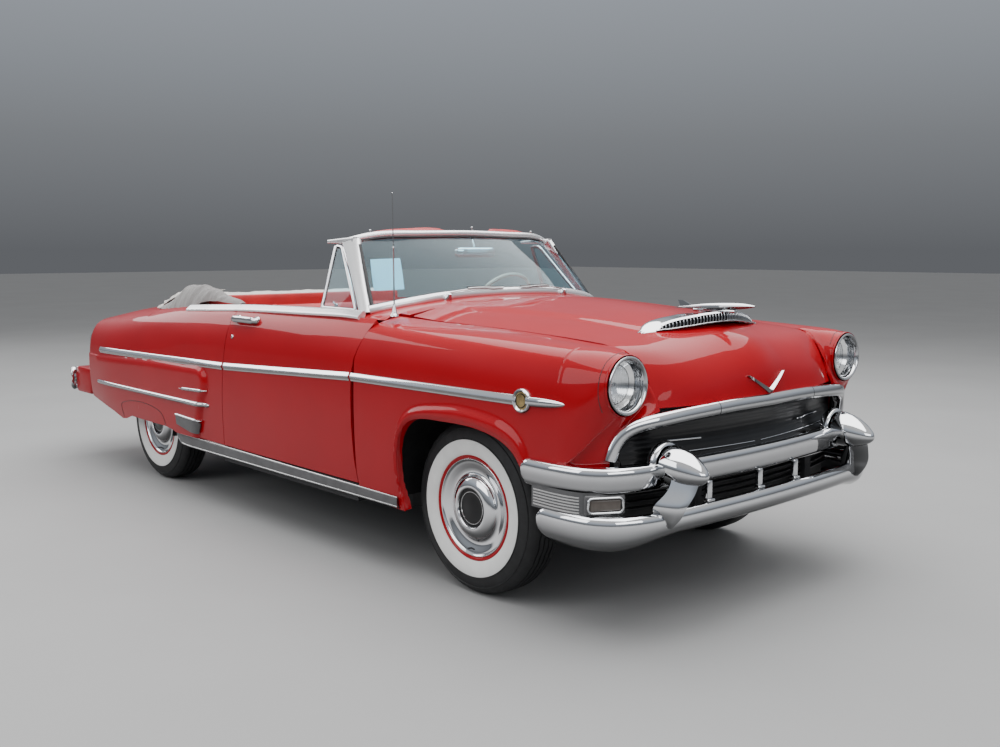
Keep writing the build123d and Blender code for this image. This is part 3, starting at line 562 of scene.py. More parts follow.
for k, (node, m) in {
    "a": ("chassis_frame", "dull"), "b": ("floor_pan", "dull"), "c": ("fuel_tank", "dull"), "d": ("driveline", "dull"),
    "e": ("engine", "iron"), "f": ("exhaust", "alloy"), "g": ("rear_axle", "dull"), "h": ("knuckle_left", "alloy"), "l": ("bumper_irons", "dull"), "m": ("front_suspension", "dull"),
    "n": ("tunnel", "dull"), "o": ("sills", "dull"), "p": ("chassis_x_brace", "dull"),
    "i": ("knuckle_right", "alloy"), "j": ("track_rod", "alloy"), "k": ("steering_column", "cream"),
}.items():
    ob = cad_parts[node]
    if not ob.material_slots:
        ob.data.materials.append(M[m])
    for s in ob.material_slots:
        s.material = M[m]

# ============================================================================ body side
# Rows at each y: sill, low, waist, side, trim line, shoulder, edge as (x, z)
SIDE = {
    -2120: [(893, 470), (900, 540), (906, 640), (908, 760), (905, 865), (893, 960), (860, 1030)],
    -1850: [(903, 440), (912, 540), (918, 640), (922, 760), (919, 865), (903, 975), (868, 1040)],
    -1500: [(908, 380), (920, 480), (926, 620), (927, 760), (924, 865), (908, 985), (870, 1048)],
    -1130: [(904, 300), (920, 450), (928, 620), (928, 760), (925, 865), (910, 988), (874, 1056)],
    -780: [(906, 305), (920, 450), (928, 620), (929, 760), (926, 865), (911, 990), (877, 1066)],
    -300: [(910, 315), (921, 450), (929, 620), (930, 760), (927, 865), (912, 990), (880, 1068)],
    480: [(906, 305), (920, 450), (930, 620), (931, 760), (927, 865), (911, 985), (878, 1062)],
    900: [(904, 300), (920, 450), (930, 620), (930, 760), (924, 865), (907, 973), (872, 1043)],
    1300: [(904, 330), (919, 450), (929, 620), (929, 760), (920, 865), (901, 955), (863, 1018)],
    1640: [(901, 350), (916, 455), (926, 620), (926, 760), (915, 858), (894, 935), (856, 990)],
    2000: [(894, 380), (908, 470), (918, 620), (917, 760), (905, 845), (884, 905), (847, 955)],
    2305: [(870, 420), (882, 490), (892, 620), (889, 760), (877, 835), (860, 885), (828, 930)],
}
# crown and seam, by panel
TOP_FRONT = {-2120: [(770, 1062), (645, 1058)], -1850: [(780, 1074), (647, 1077)], -1500: [(785, 1086), (664, 1095)],
             -1130: [(790, 1094), (704, 1108)], -780: [(806, 1108), (722, 1126)]}
TOP_DOOR = {-960: [(850, 1102), (838, 1112)], 480: [(848, 1098), (836, 1108)]}
TOP_MID = {430: [(845, 1094), (752, 1104)], 900: [(832, 1080), (752, 1098)], 1300: [(800, 1066), (745, 1088)], 1475: [(798, 1046), (742, 1070)]}
TOP_REAR = {1470: [(798, 1046), (572, 1086)], 1640: [(796, 1028), (572, 1072)], 2000: [(788, 991), (572, 1031)], 2305: [(772, 958), (572, 955)]}
ROW_T = None


def side_rows(y, top):
    """Outer line rows at each y in the array: (n, 9, 2)."""
    ks = sorted(SIDE)
    low = nat(ks, np.array([SIDE[k] for k in ks]), y)
    kt = sorted(top)
    tv = np.array([top[k] for k in kt])
    hi = nat(kt, tv, np.clip(y, kt[0], kt[-1])) if len(kt) > 2 else np.stack([lin(kt, tv[:, 0], y), lin(kt, tv[:, 1], y)], axis=1)
    return np.concatenate([low, hi], axis=1)


def side_grid(y0, y1, step, top, nv, shift=None):
    y = np.linspace(y0, y1, max(int(abs(y1 - y0) / step), 2) + 1)
    R = side_rows(y, top)
    d = np.concatenate([[0], np.cumsum(np.linalg.norm(np.diff(R.mean(axis=0), axis=0), axis=1))])
    q = np.linspace(0, d[-1], nv)
    P = np.zeros((len(y), nv, 3))
    for i in range(len(y)):
        s = nat(d, R[i], q)
        P[i, :, 0], P[i, :, 1], P[i, :, 2] = s[:, 0], y[i], s[:, 1]
    if shift is not None:
        P[:, :, 0] += shift(P[:, :, 1], P[:, :, 2])
    return P


def side_x(y, z):
    """x of the outer skin at (y, z), below the edge row."""
    R = side_rows(np.array([float(y)]), TOP_FRONT if y < -885 else (TOP_DOOR if y < 440 else (TOP_MID if y < 1470 else TOP_REAR)))[0]
    d = np.concatenate([[0], np.cumsum(np.linalg.norm(np.diff(R, axis=0), axis=1))])
    s = nat(d, R, np.linspace(0, d[6], 160))
    return float(np.interp(z, s[:, 1], s[:, 0]))


# Side-view outlines (y, z)
ARCH = [(-1187, 250), (-1180, 306), (-1140, 426), (-1137, 543), (-1162, 641), (-1215, 697), (-1290, 722), (-1430, 730),
        (-1577, 731), (-1700, 719), (-1790, 695), (-1860, 650), (-1900, 580), (-1915, 500), (-1918, 420)]
FLARE = [(-1175, 250), (-1162, 311), (-1128, 428), (-1118, 534), (-1140, 665), (-1200, 740), (-1290, 776), (-1410, 795),
         (-1529, 805), (-1682, 797), (-1791, 780), (-1872, 745), (-1930, 672), (-1950, 560), (-1955, 430)]
arch_line = curve(ARCH, 90)
flare_line = curve(FLARE, 90)
DOOR_FRONT = [(-888, 1200), (-888, 1112), (-884, 1090), (-868, 1060), (-840, 995), (-812, 930), (-798, 870), (-794, 800), (-795, 640), (-804, 480), (-823, 371)]
DOOR_REAR = [(345, 1200), (345, 1108), (352, 1030), (362, 960), (375, 870), (385, 800), (398, 680), (410, 560), (425, 371)]
FENDER = [(y - 5, z) for y, z in DOOR_FRONT] + [(-829, 308), (-1150, 300), (-1178, 300)] + [tuple(p) for p in arch_line[6:] if p[1] > 612 or p[0] > -1600] + [(-1898, 606), (-2062, 606), (-2062, 1200)]
DOOR = DOOR_FRONT + DOOR_REAR[::-1]
QUARTER = [(y + 5, z) for y, z in DOOR_REAR] + [(435, 308), (880, 306), (960, 340), (1030, 385), (1100, 392), (1600, 392), (1690, 366),
                                                (1756, 358), (1906, 392), (2060, 415), (2305, 446), (2306, 1200)]
BULGE = [(2400, 733), (2108, 735), (1298, 771), (661, 781), (606, 768), (576, 735), (572, 690), (580, 640), (613, 602), (640, 540), (668, 470), (704, 399), (760, 300), (2400, 300)]


def poly_dist(y, z, line, closed=False):
    """Distance from points (arrays) to a polyline."""
    L = np.asarray(line, float)
    if closed:
        L = np.vstack([L, L[:1]])
    best = np.full(y.shape, 1e9)
    for a, b in zip(L[:-1], L[1:]):
        d = b - a
        t = np.clip(((y - a[0]) * d[0] + (z - a[1]) * d[1]) / (d @ d + 1e-9), 0, 1)
        best = np.minimum(best, np.hypot(y - a[0] - t * d[0], z - a[1] - t * d[1]))
    return best


def in_poly(y, z, poly):
    P = np.asarray(poly, float)
    c = np.zeros(y.shape, bool)
    k = len(P) - 1
    for i in range(len(P)):
        cond = ((P[i, 1] > z) != (P[k, 1] > z)) & (y < (P[k, 0] - P[i, 0]) * (z - P[i, 1]) / (P[k, 1] - P[i, 1] + 1e-12) + P[i, 0])
        c ^= cond
        k = i
    return c


def flare_shift(y, z):
    ins = in_poly(y, z, [tuple(p) for p in flare_line] + [(-1955, 100), (-1175, 100)])
    da, df = poly_dist(y, z, arch_line), poly_dist(y, z, flare_line)
    ia = in_poly(y, z, [tuple(p) for p in arch_line] + [(-1918, 100), (-1187, 100)])
    t = df / (da + df + 1e-6)
    t = np.where(ia, 1.0, t)
    h = 15 * sstep(t / 0.45) - 9 * sstep((t - 0.72) / 0.28)
    return np.where(ins, h, 0.0)


def bulge_shift(y, z):
    ins = in_poly(y, z, BULGE)
    d = poly_dist(y, z, BULGE[1:13])
    h = lin([570, 900, 1500, 2400], [24, 20, 15, 6], y)
    return np.where(ins, h * np.sqrt(np.clip(1 - (1 - np.clip(d / 46, 0, 1)) ** 2, 0, 1)), 0.0)


# ---- front fender: side skin and the corner that carries the lamp
fender = Piece("front_fender_SIDE_skin", "body", "body_paint", ["front_fender_SIDE"])
bm = facing(sheet(side_grid(-2062, -820, 9, TOP_FRONT, 110, flare_shift)), (1, 0, 0))
knife(bm, FENDER)
CORNER_Y = -2062.0
# wheel opening: an even flange turned inwards along the whole edge
skin = BVHTree.FromBMesh(bm)
edge = [p for p in arch_line if p[1] > 296 and (p[1] > 612 or p[0] > -1600)]
P, last = [], None
for p in edge:
    d = np.array((p[0] + 1560.0, p[1] - 330.0))
    d /= np.linalg.norm(d)
    for step in (3, 8, 14):
        q = p[:2] + d * step
        hit = skin.ray_cast(Vector((2000, q[0], q[1])), Vector((-1, 0, 0)))
        if hit[0] is not None:
            last = hit[0].x
            break
    if last is None:
        continue
    P.append([(last - t, p[0] - d[0] * e, p[1] - d[1] * e) for t, e in ((0.4, -1.0), (1.6, 0.6), (6, 1.6), (18, 1.9), (34, 2.0))])
P = np.array(P)
fender.add(solid(facing(sheet(P), (0, 0, -1)), 2), M["paint"])
hem(bm, 16, 1.2, skip=lambda c: c.y < CORNER_Y + 1)
fender.add(bm, M["paint"])

LAMP_X, LAMP_Z = 753.0, 937.0
rows = side_rows(np.array([CORNER_Y]), TOP_FRONT)[0]
dd = np.concatenate([[0], np.cumsum(np.linalg.norm(np.diff(side_rows(np.linspace(-2062, -820, 20), TOP_FRONT).mean(axis=0), axis=0), axis=1))])
rear_line = nat(dd, rows, np.linspace(0, dd[-1], 400))       # (x, z) of the section where the corner starts


def rear_at(frac):
    """Point on the rear boundary, frac 0 at z 612, 1 at the hood seam."""
    i0 = int(np.argmin(np.abs(rear_line[:, 1] - 612) + (rear_line[:, 0] < 850) * 1000))
    return rear_line[int(round(i0 + frac * (399 - i0)))]


# outer boundary of the corner by angle around the lamp: 0 outwards, 90 up, 180 inwards, 270 down
def corner_boundary(n):
    r0 = [(*rear_at(f)[:1], CORNER_Y, rear_at(f)[1]) for f in np.linspace(0, 1, 60)]
    seam = curve([r0[-1], (640, -2110, 1057), (633, -2155, 1046), (621, -2198, 1000), (610, -2245, 930), (605, -2278, 880), (606, -2298, 834)], 30)
    arch = curve([(606, -2298, 834), (655, -2294, 824), (700, -2276, 806), (744, -2252, 776), (770, -2236, 740), (784, -2226, 700), (791, -2221, 655), (793, -2219, 612)], 26)
    foot = curve([(793, -2219, 612), (838, -2186, 612), (874, -2136, 612), (r0[0][0], CORNER_Y, 612)], 18)
    loop = np.vstack([r0[:-1], seam[:-1], arch[:-1], foot[:-1]])
    ang = np.degrees(np.arctan2(loop[:, 2] - LAMP_Z, loop[:, 0] - LAMP_X)) % 360
    return loop


loop = corner_boundary(0)
NB = len(loop)
# direction in which the skin arrives at each boundary point
arrive = np.zeros((NB, 3))
for i, p in enumerate(loop):
    if p[1] >= CORNER_Y - 0.5:
        arrive[i] = (0, 1, 0)
    elif i < 59 + 29:
        arrive[i] = (-0.75, 0.15, -0.35)
    elif i < 59 + 29 + 25:
        f = (i - 88) / 25
        arrive[i] = (-0.55 * (1 - f), 0.0, -1)
    else:
        arrive[i] = (0.0, 0.0, -1)
for _ in range(6):
    arrive = (np.roll(arrive, 1, axis=0) + 2 * arrive + np.roll(arrive, -1, axis=0)) / 4
for i, p in enumerate(loop):
    if p[1] >= CORNER_Y - 0.5 and 8 < i < 56:
        arrive[i] = (0, 1, 0)
arrive /= np.linalg.norm(arrive, axis=1)[:, None]
# matching angle on the lamp circle: even steps blended with the true bearing
bear = np.unwrap(np.arctan2(loop[:, 2] - LAMP_Z, loop[:, 0] - LAMP_X))
even = bear[0] + np.linspace(0, 2 * math.pi, NB, endpoint=False)
theta = 0.72 * bear + 0.28 * even
ring = np.stack([LAMP_X + 112 * np.cos(theta), np.full(NB, -2258.0), LAMP_Z + 112 * np.sin(theta)], axis=1)
low = np.clip(-np.sin(theta) * 1.25, 0, 1)
lift = np.stack([(0.22 + 0.75 * low) * np.cos(theta), 1 - 0.5 * low, (0.22 + 0.75 * low) * np.sin(theta)], axis=1)
lift /= np.linalg.norm(lift, axis=1)[:, None]
span = np.linalg.norm(loop - ring, axis=1)
ts = np.linspace(0, 1, 44) ** 1.15
P = np.zeros((NB, len(ts), 3))
for i in range(NB):
    down = 1 if loop[i, 1] < CORNER_Y - 1 else 0
    m0 = lift[i] * (span[i] * 1.0 if not down else lin([-1.0, -0.4, 0.2, 0.7], [120.0, 120.0, 120.0, 150.0], [math.sin(theta[i])])[0])
    m1 = arrive[i] * span[i] * 0.9
    h = np.stack([2 * ts ** 3 - 3 * ts ** 2 + 1, ts ** 3 - 2 * ts ** 2 + ts, -2 * ts ** 3 + 3 * ts ** 2, ts ** 3 - ts ** 2], axis=1)
    P[i] = np.outer(h[:, 0], ring[i]) + np.outer(h[:, 1], m0) + np.outer(h[:, 2], loop[i]) + np.outer(h[:, 3], m1)
# smooth around the lamp, leaving both ends
for _ in range(10):
    Q = (np.roll(P, 1, axis=0) + 2 * P + np.roll(P, -1, axis=0)) / 4
    P[:, 1:-1] = Q[:, 1:-1]
bm = facing(sheet(P, closed_u=True, flip=False), (0.6, -1, 0.3))
hem(bm, 14, 1.5, skip=lambda c: c.y > CORNER_Y - 1 or (Vector((c.x - LAMP_X, 0, c.z - LAMP_Z)).length < 114))
fender.add(bm, M["paint"])
# lamp rim: rounded painted lip running into the bezel
fender.add(lathe([(-40, 100), (-6, 108), (4, 109.5), (6, 111), (4, 112.3), (-2, 113)], (LAMP_X, -2262, LAMP_Z), (0, -1, 0), 96), M["paint"])
# dark seam around the upper and outer side of the lamp housing
k = 7
idx = [i for i in range(NB) if -0.75 < math.remainder(theta[i], 2 * math.pi) < 2.6]
idx.sort(key=lambda i: math.remainder(theta[i], 2 * math.pi))
line = curve([P[i, k] for i in idx], 90)
radial = np.array([(p[0] - LAMP_X, -60.0, p[2] - LAMP_Z) for p in line])
fender.add(sweep(line, [(-2, -1.1), (0.7, -1.1), (0.7, 1.1), (-2, 1.1)], radial), M["seal"])
# inner structure: wheelhouse, engine bay side, its shelf
wh = curve([(-1022, 330), (-1026, 560), (-1090, 700), (-1260, 764), (-1500, 778), (-1740, 768), (-1900, 700), (-1958, 580), (-1968, 430)], 40)
house = np.stack([np.stack([np.full(40, x), wh[:, 0], wh[:, 1]], axis=1) for x in np.linspace(905, 470, 14)])
house[0, :, 0] = 896
fender.add(solid(sheet(house), 2), M["dull"])
fender.add(rbox((438, -1505, 800), (6, 1090, 430), 2), M["dull"])
fender.add(rbox((574, -1505, 1016), (280, 1090, 8), 2), M["paint_in"])
fender.add(rbox((712, -1505, 1034), (8, 1090, 40), 2), M["paint_in"])
fender.pair()

# ============================================================================ hood, scoop and nose
HOOD = [
    (0, [(-955, 1196), (-1300, 1189), (-1700, 1163), (-1967, 1136), (-2149, 1104), (-2238, 1064), (-2298, 1010), (-2336, 940), (-2354, 842)]),
    (240, [(-957, 1190), (-1300, 1174), (-1700, 1147), (-1967, 1116), (-2135, 1083), (-2224, 1044), (-2284, 990), (-2322, 925), (-2343, 842)]),
    (480, [(-962, 1170), (-1300, 1146), (-1700, 1120), (-1967, 1092), (-2110, 1068), (-2190, 1036), (-2248, 985), (-2290, 915), (-2312, 842)]),
    (600, [(-966, 1146), (-1300, 1122), (-1700, 1098), (-1967, 1078), (-2095, 1062), (-2165, 1034), (-2216, 975), (-2250, 905), (-2276, 842)]),
    (712, [(-970, 1120), (-1300, 1096), (-1700, 1072), (-1967, 1060), (-2080, 1049), (-2140, 1020), (-2185, 963), (-2218, 895), (-2244, 842)]),
]
HOOD_PLAN = [(-715, -950), (-702, -950), (-700, -1130), (-659, -1500), (-642, -1850), (-639, -2062), (-633, -2110), (-619, -2150), (-607, -2190), (-600, -2230), (-599, -2300)]
hx = np.array([h[0] for h in HOOD], float)
hp = np.array([h[1] for h in HOOD], float)
hx2 = np.concatenate([-hx[:0:-1], hx])
hp2 = np.concatenate([hp[:0:-1], hp])
qx = np.linspace(-712, 712, 113)
H = nat(hx2, hp2, qx)                                # (113, 9, 2)
dh = np.concatenate([[0], np.cumsum(np.linalg.norm(np.diff(H.mean(axis=0), axis=0), axis=1))])
qd = np.linspace(0, dh[-1], 150)
P = np.zeros((len(qx), 150, 3))
for i in range(len(qx)):
    s = nat(dh, H[i], qd)
    P[i, :, 0], P[i, :, 1], P[i, :, 2] = qx[i], s[:, 0], s[:, 1]
# raised middle of the hood, ending at the scoop, and the soft ridge down the nose
yy, xx = P[:, :, 1], np.abs(P[:, :, 0])
edge = lin([-2400, -2060, -1500, -950], [330, 345, 430, 500], yy.ravel()).reshape(yy.shape)
P[:, :, 2] += 9 * (1 - sstep((xx - edge + 40) / 80)) * sstep((yy + 2120) / 160) * (1 - sstep((yy + 1300) / 300))
nose = sstep((-2150 - yy) / 90)
P[:, :, 1] -= 12 * nose * (1 - sstep(xx / 165))
hood_P = P


def hood_z(x, y):
    """Height of the hood's skin on its upper part."""
    i = int(np.argmin(np.abs(qx - x)))
    o = np.argsort(hood_P[i, :110, 1])
    return float(np.interp(y, hood_P[i, :110, 1][o], hood_P[i, :110, 2][o]))


def hood_y(x, z):
    """Place of the hood's skin on its nose at height z."""
    i = int(np.argmin(np.abs(qx - x)))
    col = hood_P[i][hood_P[i, :, 1] < -2150]
    o = np.argsort(col[:, 2])
    return float(np.interp(z, col[o, 2], col[o, 1]))


hood = Piece("hood_skin", "hood", "body_paint", ["hood"])
bm = facing(sheet(P), (0, -0.3, 1))
plan = HOOD_PLAN + [(-599, -2500), (599, -2500)] + [(-a, b) for a, b in HOOD_PLAN[::-1]]
knife(bm, plan, axes=(0, 1))
hem(bm, 15, 2)
hood.add(bm, M["paint"])
# inner panel with its stiffening channels
Pi = P[4:-4:4, 3:-8:5].copy()
Pi[:, :, 2] -= 24
Pi[:, :, 1] += 10
inner = sheet(Pi)
knife(inner, [(a * 0.97, b * 0.998) for a, b in plan], axes=(0, 1))
hood.add(solid(inner, 2), M["paint_in"])
for x in (-420, -140, 140, 420):
    pts = [(x, y, hood_z(x, y) - 30) for y in np.linspace(-2120, -1010, 20)]
    hood.add(sweep(pts, rrect(16, 50, 6), (0, 0, 1)), M["paint_in"])
hood.add(sweep([(x, -1040, hood_z(x, -1040) - 30) for x in np.linspace(-640, 640, 30)], rrect(16, 50, 6), (0, 0, 1)), M["paint_in"])
# plain chevron on the nose
for s in (-1, 1):
    pts = [np.array((s * (3 + 117 * t), hood_y(s * (3 + 117 * t), 863 + 66 * t) - 3, 863 + 66 * t)) for t in np.linspace(0, 1, 9)]
    hood.add(sweep(pts, [(0, -12), (10, 0), (0, 12), (-5, 0)], (0, -1, 0.25), scale=[(1, max(0.12, 1 - 0.85 * t)) for t in np.linspace(0, 1, 9)]), M["chrome"])
hood.done()

# chrome scoop: side profiles (y, z) at each x, its mouth with upright bars, and a plain dart
scoop = Piece("hood_scoop_trim", "hood", "chrome", ["hood_scoop"])
NS = 61
xs = np.linspace(-400, 400, NS)


def lip_y(x):
    return float(nat([0, 150, 310, 400], [-2152, -2118, -2060, -2032], abs(x))[0])


def back_y(x):
    return float(nat([0, 150, 300, 400], [-1980, -1955, -1962, -2014], abs(x))[0])


def mouth_h(x):
    return 37.0 * math.sqrt(max(0.0, 1 - min(abs(x) / 322.0, 1) ** 5))


P = np.zeros((NS, 26, 3))
mouth_lo, mouth_hi = [], []
for i, x in enumerate(xs):
    yf, yb, h = lip_y(x), back_y(x), mouth_h(x)
    h2 = h + 7 * (1 - (abs(x) / 400) ** 6)
    prof = [(yb + 2, hood_z(x, yb) - 5), (yb - 5, hood_z(x, yb) + 2), (yb + 0.5 * (yf - yb), hood_z(x, yb + 0.5 * (yf - yb)) + 0.62 * h2 + 3),
            (yf + 16, hood_z(x, yf + 16) + h2 * 0.98), (yf + 3, hood_z(x, yf) + h2 * 0.93), (yf, hood_z(x, yf) + max(h, 0.3))]
    P[i] = curve([(x, a, b) for a, b in prof], 26)
    mouth_hi.append((x, yf + 22, hood_z(x, yf + 20) + h * 0.96))
    mouth_lo.append((x, yf + 18, hood_z(x, yf + 18) - 3))
bm = sheet(P, flip=True)
bm.normal_update()
scoop.add(solid(bm, 4), M["chrome"])
scoop.add(solid(sheet([mouth_lo, mouth_hi]), 2), M["black"])
lip = [(x, lip_y(x) - 1, hood_z(x, lip_y(x)) + 3) for x in np.linspace(-332, 332, 60)]
scoop.add(sweep(lip, rrect(9, 6, 2.5), (0, -1, 0)), M["chrome"])
for x in np.linspace(-306, 306, 41):
    yf, h = lip_y(x), mouth_h(x)
    z0 = hood_z(x, yf)
    scoop.add(sweep([(x, yf + 3, z0), (x, yf + 1, z0 + 0.55 * h), (x, yf + 6, z0 + h + 1)], rrect(9, 6, 2.2), (0, -1, 0)), M["chrome"])
# dart standing on the scoop: body, swept wings and tail
dz = hood_z(0, -2100) + 46
dart = [(-1905, 3, 3, 4), (-1960, 9, 8, 6), (-2030, 17, 13, 10), (-2110, 21, 15, 14), (-2180, 18, 14, 17), (-2240, 11, 10, 19), (-2282, 3, 3, 20)]
secs = []
for y, w, h, z in dart:
    secs.append([(w * math.cos(a), y, dz + z + h * math.sin(a)) for a in np.linspace(0, 2 * math.pi, 20, endpoint=False)])
scoop.add(loft(secs, n=30), M["chrome"])
for s in (-1, 1):
    wing = [[(s * 10, -2160, dz + 14), (s * 10, -2040, dz + 8), (s * 10, -2040, dz + 4), (s * 10, -2160, dz + 8)],
            [(s * 60, -2085, dz + 12), (s * 60, -1995, dz + 8), (s * 60, -1995, dz + 5), (s * 60, -2085, dz + 8)],
            [(s * 104, -2000, dz + 10), (s * 104, -1962, dz + 9), (s * 104, -1962, dz + 7), (s * 104, -2000, dz + 7)]]
    scoop.add(loft(wing, n=10), M["chrome"])
scoop.add(loft([[(0 + a, y, z) for a, y, z in ((-2.5, -1990, dz + 8), (2.5, -1990, dz + 8), (2.5, -1915, dz + 4), (-2.5, -1915, dz + 4))],
                [(0 + a, y, z) for a, y, z in ((-1, -1925, dz + 34), (1, -1925, dz + 34), (1, -1900, dz + 34), (-1, -1900, dz + 34))]]), M["chrome"])
scoop.add(rbox((0, -2090, dz - 4), (26, 210, 14), 5), M["chrome"])
scoop.done()

# ---- chrome arch over the grille
arch = Piece("grille_surround_trim", "body", "chrome", ["grille_surround"])
half = [(0, -2366, 822), (200, -2362, 822), (400, -2348, 816), (560, -2326, 806), (640, -2306, 797), (700, -2282, 785), (742, -2258, 762), (766, -2243, 732), (779, -2235, 700), (786, -2230, 664)]
path = [(-x, y, z) for x, y, z in half[:0:-1]] + half
pc = curve(path, 170)
out = np.array([(p[0] * 0.0006, -1, 0.30) for p in pc])
ARCH_PROF = smooth_prof([(-42, -22), (-16, -29), (2, -30), (11, -23), (14, -8), (11, 8), (2, 19), (-16, 23), (-42, 18)], 40)
arch.add(sweep(pc, ARCH_PROF, out), M["chrome"], sharp=60)
for x in (-330, 330):
    i = int(np.argmin(np.abs(pc[:, 0] - x)))
    arch.add(sweep([pc[i] - (1.4, 0, 0), pc[i] + (1.4, 0, 0)], ARCH_PROF * 1.02 + 0.2, out[i]), M["seal"])
arch.done()

# ---- grille: black concave face with thin ribs and plain bright strips
grille = Piece("grille_face", "body", "grille_black", ["grille"])
gx = np.linspace(-735, 735, 61)
gz = np.linspace(640, 812, 28)
P = np.zeros((len(gx), len(gz), 3))
for i, x in enumerate(gx):
    t = abs(x) / 735
    for j, z in enumerate(gz):
        u = (z - 726) / 86
        P[i, j] = (x, -2318 + 90 * t ** 2 + 34 * (1 - u * u) - 0.9 * math.cos(z / 172 * 2 * math.pi * 9), z)
grille.add(solid(sheet(P), -3), M["black"])
for s in (-1, 1):
    for (x0, z0), (x1, z1) in (((540, 709), (335, 702)),):
        pts = [(s * x, -2318 + 90 * (x / 735) ** 2 + 20, z) for x, z in zip(np.linspace(x0, x1, 9), np.linspace(z0, z1, 9))]
        grille.add(sweep(pts, rrect(7, 8, 2.5), (0, -1, 0)), M["chrome"])
    pts = [(s * x, -2318 + 90 * (x / 735) ** 2 + 6, z) for x, z in zip(np.linspace(600, 20, 16), np.linspace(664, 654, 16))]
    grille.add(sweep(pts, rrect(6, 6, 2), (0, -1, 0)), M["chrome"])
# dark opening between the bars, with upright slats behind
for z in (470, 495, 520, 545):
    grille.add(sweep([(x, -2215 - 90 * (1 - (x / 690) ** 2), z) for x in np.linspace(-690, 690, 25)], rrect(26, 5, 2), (0, -1, 0)), M["black"])
P = np.array([[(x, -2190 - 60 * (1 - (x / 700) ** 2), z) for z in np.linspace(400, 655, 8)] for x in np.linspace(-700, 700, 25)])
grille.add(solid(sheet(P), -3), M["dull"])
grille.done()

# ---- lamps
lamps = Piece("headlamp_rings", "body", "chrome", ["headlamps"])
lamps.add(lathe([(-20, 98), (2, 102), (10, 106), (13, 103), (13, 98), (6, 92), (-10, 89), (-34, 88)], (LAMP_X, -2262, LAMP_Z), (0, -1, 0), 96), M["chrome"], mirror=True, sharp=60)
lamps.add(lathe([(-80, 0), (-78, 20), (-66, 50), (-50, 74), (-38, 88.5), (-34, 88.5)], (LAMP_X, -2262, LAMP_Z), (0, -1, 0), 64), M["reflector"], mirror=True)
lamps.add(lathe([(-32, 0.0), (-33, 40), (-37, 70), (-43, 87), (-46, 87), (-40, 69), (-36, 40), (-35, 0)], (LAMP_X, -2250, LAMP_Z), (0, -1, 0), 64), M["lens"], mirror=True)
lamps.add(lathe([(-76, 0), (-60, 8), (-58, 0)], (LAMP_X, -2262, LAMP_Z), (0, -1, 0), 24), M["chrome"], mirror=True)
lamps.done()

# ---- front bumper
UPPER = [(0, -2382, 0), (300, -2372, 0), (600, -2347, 0), (760, -2318, 0), (860, -2268, 0), (916, -2190, 0), (938, -2090, 0), (943, -1990, 0), (942, -1915, 0)]
LOWER = [(0, -2418, 0), (300, -2412, 0), (560, -2398, 0), (760, -2366, 0), (870, -2310, 0), (925, -2225, 0), (941, -2130, 0), (943, -2050, 0), (941, -1998, 0)]
bumper = Piece("front_bumper_chrome", "body", "chrome", ["front_bumper"])


def bar(pts, z, prof, n=150, end=14, drop=0.0):
    """Bumper bar: plan points of the left half, section (u out, v up), rounded at its ends."""
    full = [(-x, y, z) for x, y, _ in pts[:0:-1]] + [(x, y, z) for x, y, _ in pts]
    c = curve(full, n)
    T = np.gradient(c, axis=0)
    T /= np.linalg.norm(T, axis=1)[:, None]
    N = np.stack([T[:, 1], -T[:, 0], np.zeros(n)], axis=1)
    if N[n // 2, 1] > 0:
        N = -N
    s = np.concatenate([[0], np.cumsum(np.linalg.norm(np.diff(c, axis=0), axis=1))])
    e = np.minimum(s, s[-1] - s)
    k = np.sqrt(np.clip(1 - (1 - np.clip(e / end, 0, 1)) ** 2, 0.0, 1))
    k = 0.60 + 0.40 * k
    pr = np.asarray(prof, float)
    P = np.zeros((n, len(pr), 3))
    mid = pr[:, 1].mean()
    for i in range(n):
        pv = (pr[:, 1] - mid) * k[i] + mid
        pv = np.where(pv < 10, pv - (10 - pv) / 60 * drop * sstep((abs(c[i][0]) - 560) / 320), pv)
        P[i] = c[i] + np.outer(pr[:, 0] * (0.35 + 0.65 * k[i]) - 0, N[i]) + np.outer(pv, (0, 0, 1))
    bm = sheet(P, False, True)
    bm.verts.ensure_lookup_table()
    m = len(pr)
    for st in (0, (n - 1) * m):
        bm.faces.new([bm.verts[st + j] for j in range(m)])
    bmesh.ops.recalc_face_normals(bm, faces=bm.faces)
    return bm


upper_prof = smooth_prof([(-46, 44), (-24, 50), (-6, 42), (0, 22), (-1, 0), (-5, -22), (-12, -42), (-24, -50), (-32, -44), (-24, -20), (-22, 0), (-24, 22), (-34, 38)], 52)
lower_prof = smooth_prof([(-40, 40), (-22, 46), (-6, 36), (0, 14), (-4, -10), (-16, -32), (-38, -46), (-62, -50), (-66, -46), (-44, -38), (-26, -22), (-20, 0), (-22, 22), (-34, 34)], 52)
bumper.add(bar(UPPER, 602, upper_prof, 170), M["chrome"], sharp=70)
bumper.add(bar(LOWER, 436, lower_prof, 160, 30, 34), M["chrome"], sharp=70)
